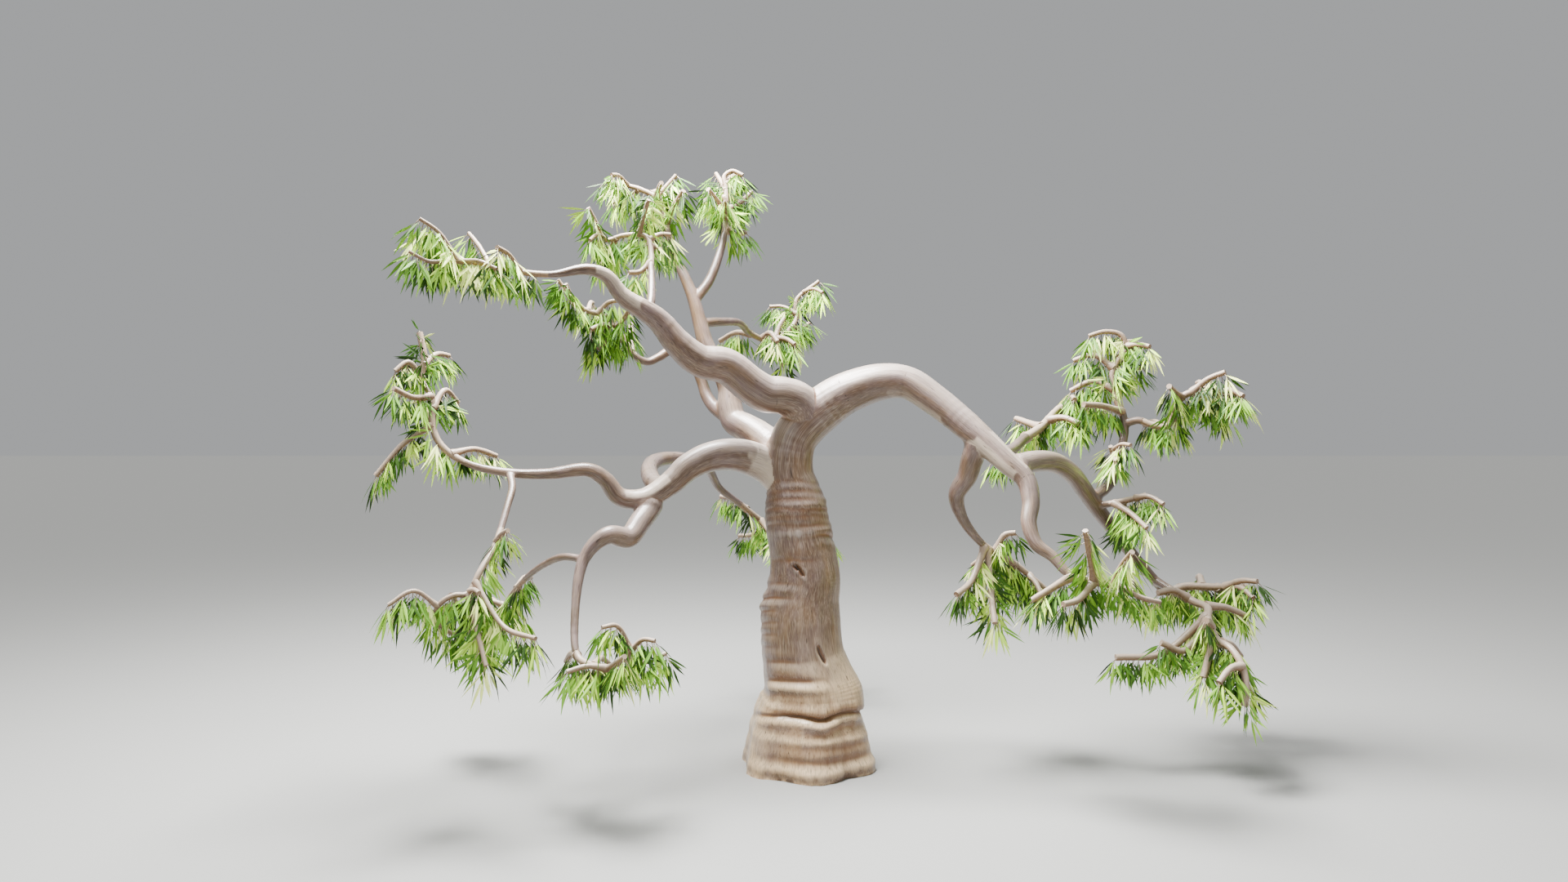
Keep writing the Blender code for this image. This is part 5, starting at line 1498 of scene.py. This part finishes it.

# %% [markdown]
# Smooth gum bark sheds every summer. What is left is a thin, hard skin with a satin shine. It is sandy
# tan on the stout foot, brown with pinkish grey patches up the trunk, and darker on thin branches. Where
# old bark came off lately it is fresh and pale, and one side of the trunk is more tan. Painted light makes
# the upper side of a limb paler, and painted shade keeps the under side a darker warm brown. Fine
# lengthwise streaks, about 10 mm wide, and a few dark scratches follow every limb. Painted shade darkens
# the creases, hollows, knot slits and the lines where limbs meet, the bark round a knot is stained, and
# the trunk's crests are paler, partly from rubbed wear and partly as painted highlight.

# %% The bark's layers
STREAKS = {  # millimetres round and along the limb, and the noise's detail
    "patches": (90.0, 420.0, 3.0),
    "streaks": (10.0, 420.0, 2.0),
    "fibres": (5.0, 240.0, 2.0),
    "scratches": (14.0, 160.0, 1.0),
}
BLOTCH_MM = 260.0
BLOTCH_DETAIL = 3.0
GRAIN_MM = 3.0
GRAIN_DETAIL = 3.0
THIN_COLOUR = "4A3425"
LIT_PALE = "pale"  # stands for the pale colour of the painted light on tops and crests, sandy on the foot and greyer above it
PALE_COLOURS = (0.78, 0.90, "E2D6CC", "E4C8A0")
TOP_LIGHT_BY_STOUT = (0.25, 0.93, 0.9, 0.15)  # how far the painted light on the tops goes, from a thin limb to a stout one
LAYERS = (  # what it follows, from and to, its share at most, what else weakens it, its colour
    ("stout", 0.15, 0.55, 1.0, "", "644C3C"),
    ("stout", 0.855, 0.94, 1.0, "", "BC9A70"),
    ("blotches", 0.42, 0.62, 0.75, "", "75605F"),
    ("patches", 0.48, 0.66, 0.6, "", "806040"),
    ("tan_side", 0.0, 1.0, 0.65, "", "7E5F38"),
    ("fresh", 0.0, 1.0, 0.85, "", "CDBBA8"),
    # painted light: paler the more the bark faces up
    ("upper", -0.05, 0.8, 1.0, "top_light", LIT_PALE),
    # painted shade: darker brown the more the bark faces down
    ("upper", -0.05, -0.8, 0.8, "", "4A2A12"),
    ("streaks", 0.48, 0.68, 1.0, "calm", "3A281B"),
    ("fibres", 0.48, 0.74, 1.0, "", "C4AD96"),
    # the trunk's crests paler, partly rubbed wear and partly painted highlight
    ("hollow", -0.12, -0.55, 0.32, "", LIT_PALE),
    ("scratches", 0.70, 0.76, 0.8, "calm", "2E1E14"),
    # painted shade in creases, under rolls, in knot slits, in hollows and where limbs meet, with the real
    # stain round knots
    ("hollow", 0.1, 1.2, 0.8, "", "74481E"),
    ("hollow", 1.4, 2.4, 0.8, "", "2E1B0C"),
)
print("layers of colour:", len(LAYERS))

# %% Smooth bark
SHINE = (0.3, 0.7, 0.08, -0.06)  # the patches' noise, from and to, and how much rougher it makes the bark
STREAK_HEIGHT = 1.5  # how high a streak stands next to a fibre
COAT = 0.3
COAT_ROUGHNESS = 0.2
BARK_BUMP = (0.28, 0.003)  # strength, and metres


def smooth_bark(name, roughness, shares):
    """Shed gum bark: its colour follows the limb's thickness, the side of the limb and the grain, with
    painted light on top and painted shade below and in the creases.

    The shares say how strongly single layers show on this bark.
    """
    bark = Finish(name)
    grain = bark.known("grain", "Vector")
    place = bark.place()
    follows = {known: bark.known(known) for known in ("stout", "upper", "hollow", "fresh", "tan_side")}
    follows["blotches"] = bark.noise(place, 1000 / BLOTCH_MM, BLOTCH_DETAIL)
    for streak, (round_mm, length_mm, detail) in STREAKS.items():
        scale = (1000 / round_mm, 1000 / round_mm, 1000 / length_mm)
        stretched = bark.node("ShaderNodeMapping", {"Vector": grain, "Scale": scale}).outputs[0]
        follows[streak] = bark.noise(stretched, 1.0, detail)
    weakened = {
        "top_light": bark.between(follows["stout"], *TOP_LIGHT_BY_STOUT),
        "calm": bark.computed("SUBTRACT", 1.0, bark.known("fork")),
    }
    low, high, *pales = PALE_COLOURS
    pale = bark.mixed(bark.between(follows["stout"], low, high), *map(linear, pales))
    colour = linear(THIN_COLOUR)
    for source, low, high, most, weakener, code in LAYERS:
        share = bark.between(follows[source], low, high, most * shares.get(source, 1.0))
        if weakener:
            share = bark.computed("MULTIPLY", share, weakened[weakener])
        colour = bark.mixed(share, colour, pale if code == LIT_PALE else linear(code))
    low, high, *rougher = SHINE
    shine = bark.between(follows["patches"], low, high, *(roughness + more for more in rougher))
    fine = bark.noise(place, 1000 / GRAIN_MM, GRAIN_DETAIL)
    rough = bark.computed("ADD", follows["fibres"], fine)
    relief = bark.computed("MULTIPLY_ADD", follows["streaks"], STREAK_HEIGHT, rough)
    return bark.made(Base_Color=colour, Roughness=shine, Coat_Weight=COAT, Coat_Roughness=COAT_ROUGHNESS,
                     Normal=bark.bump(relief, *BARK_BUMP))


barks = {
    "trunk_bark": smooth_bark("shed gum bark, old trunk", 0.38, {"streaks": 0.45, "fibres": 0.50}),
    "bough_bark": smooth_bark("shed gum bark, boughs", 0.32, {"streaks": 0.35, "fibres": 0.28}),
    "branch_bark": smooth_bark("shed gum bark, upper branches", 0.32, {"streaks": 0.30, "fibres": 0.25}),
}
print("barks:", [bark.name for bark in barks.values()])

# %% [markdown]
# Twigs are too thin for streaks to show. Their bark has a satin shine and is slightly mottled and brown,
# with a painted highlight that makes it paler the more it faces up.

# %% Twig bark
MOTTLE_MM = 18.0
MOTTLE_DETAIL = 4.0
MOTTLE_NOISE = (0.35, 0.65)  # where in the noise the first colour ends and the other is full
MOTTLES = ("6E4E36", "8C6C50")
TWIG_TOP_LIGHT = (-0.4, 0.7, 0.85)  # how far up a place faces, from and to, and the share of the painted highlight's pale colour
TWIG_TOP_LIGHT_COLOUR = "C8B5A2"
TWIG_ROUGHNESS = 0.36
TWIG_BUMP = (0.5, 0.002)  # strength, and metres

twig = Finish("young gum bark, mottled")
mottle = twig.noise(twig.place(), 1000 / MOTTLE_MM, MOTTLE_DETAIL)
mottled = twig.mixed(twig.between(mottle, *MOTTLE_NOISE), *map(linear, MOTTLES))
lit_on_top = twig.mixed(twig.between(twig.known("upper"), *TWIG_TOP_LIGHT), mottled, linear(TWIG_TOP_LIGHT_COLOUR))
young_bark = twig.made(Base_Color=lit_on_top, Roughness=TWIG_ROUGHNESS, Normal=twig.bump(mottle, *TWIG_BUMP))
print("twigs:", young_bark.name)

# %% [markdown]
# A gum leaf is leathery and waxy on both sides. Its greens differ from spray to spray with age and light,
# and, dealt at random, the palest of them also stand in as painted highlight and the darkest as painted
# shade. There is one plain material for each green.

# %% Leaves
LEAF_ROUGHNESS = 0.5
LEAF_SHINE = 0.2  # of how much it mirrors, where 0.5 is common plastic

leaf_materials = []
for number, green in enumerate(GREENS):
    leaf = Finish("waxy gum leaf " + str(number + 1))
    leaf_materials.append(leaf.made(Base_Color=linear(green), Roughness=LEAF_ROUGHNESS,
                                    Specular_IOR_Level=LEAF_SHINE))
print("leaves:", [material.name for material in leaf_materials])

# %% [markdown]
# Every piece rides on the tree's one body and hides the solid that it stands for. A bark piece gets the bark
# that its solid's slot names.

# %% Dress the tree
slots = {row["node"]: row["material_slot"] for row in frame["record"]["subparts"]}
for name, part in bark_pieces.items():
    part.data.materials.clear()
    part.data.materials.append(barks[slots[name]])
    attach(part, "root")
    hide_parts(name)
for name, (wood, blades) in foliage_pieces.items():
    wood.data.materials.clear()
    wood.data.materials.append(young_bark)
    for material in leaf_materials:
        blades.data.materials.append(material)
    for part, slot_name in ((wood, "branch_bark"), (blades, "foliage")):
        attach(part, "root")
        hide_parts(name)
print("pieces:", len(bark_pieces) + 2 * len(foliage_pieces))

# %% [markdown]
# The studio: a plain pale floor that runs out of sight and pale air. A large soft light and a broad sun
# over the tree whiten the tops of the boughs, and two weak soft lights stand at the front and the right.

# %% The floor
FLOOR_SIZE = 400
PAPER = "9C9C99"
PAPER_ROUGHNESS = 0.9

bpy.ops.object.select_all(action="DESELECT")
bpy.ops.mesh.primitive_plane_add(size=FLOOR_SIZE, location=(0, 0, 0))
floor = bpy.context.object
floor.name = "floor"
paper = Finish("matt pale studio paper").made(Base_Color=linear(PAPER), Roughness=PAPER_ROUGHNESS)
floor.data.materials.append(paper)
print("floor:", FLOOR_SIZE, "m wide")

# %% The light
LIGHTS = (  # name, place, size, watts
    ("light_over", (-2.0, 0.2, 10.0), 4.0, 5800),
    ("light_front", (-5.5, -8.0, 6.0), 4.0, 140),
    ("light_right", (8.5, -3.0, 5.0), 4.0, 70),
)
LIGHT_AIM = Vector((0, 0, 2.6))
SUN_STRENGTH = 2.8  # watts for each square metre
SUN_ACROSS = math.radians(30)
AIR_COLOUR = "E6E8EA"
AIR_STRENGTH = 0.52


def add_light(name, kind, place, strength):
    """A light that shines from its place at the tree."""
    turn = (LIGHT_AIM - Vector(place)).to_track_quat("-Z", "Y").to_euler()
    bpy.ops.object.light_add(type=kind, location=place, rotation=turn)
    light = bpy.context.object
    light.name = name
    light.data.energy = strength
    return light.data


for name, place, size, watts in LIGHTS:
    add_light(name, "AREA", place, watts).size = size
add_light("light_sky", "SUN", LIGHTS[0][1], SUN_STRENGTH).angle = SUN_ACROSS
world = bpy.data.worlds.new("pale air")
world.use_nodes = True
air = world.node_tree.nodes["Background"].inputs
air["Color"].default_value = linear(AIR_COLOUR)
air["Strength"].default_value = AIR_STRENGTH
bpy.context.scene.world = world
print("lights:", len(LIGHTS) + 1)
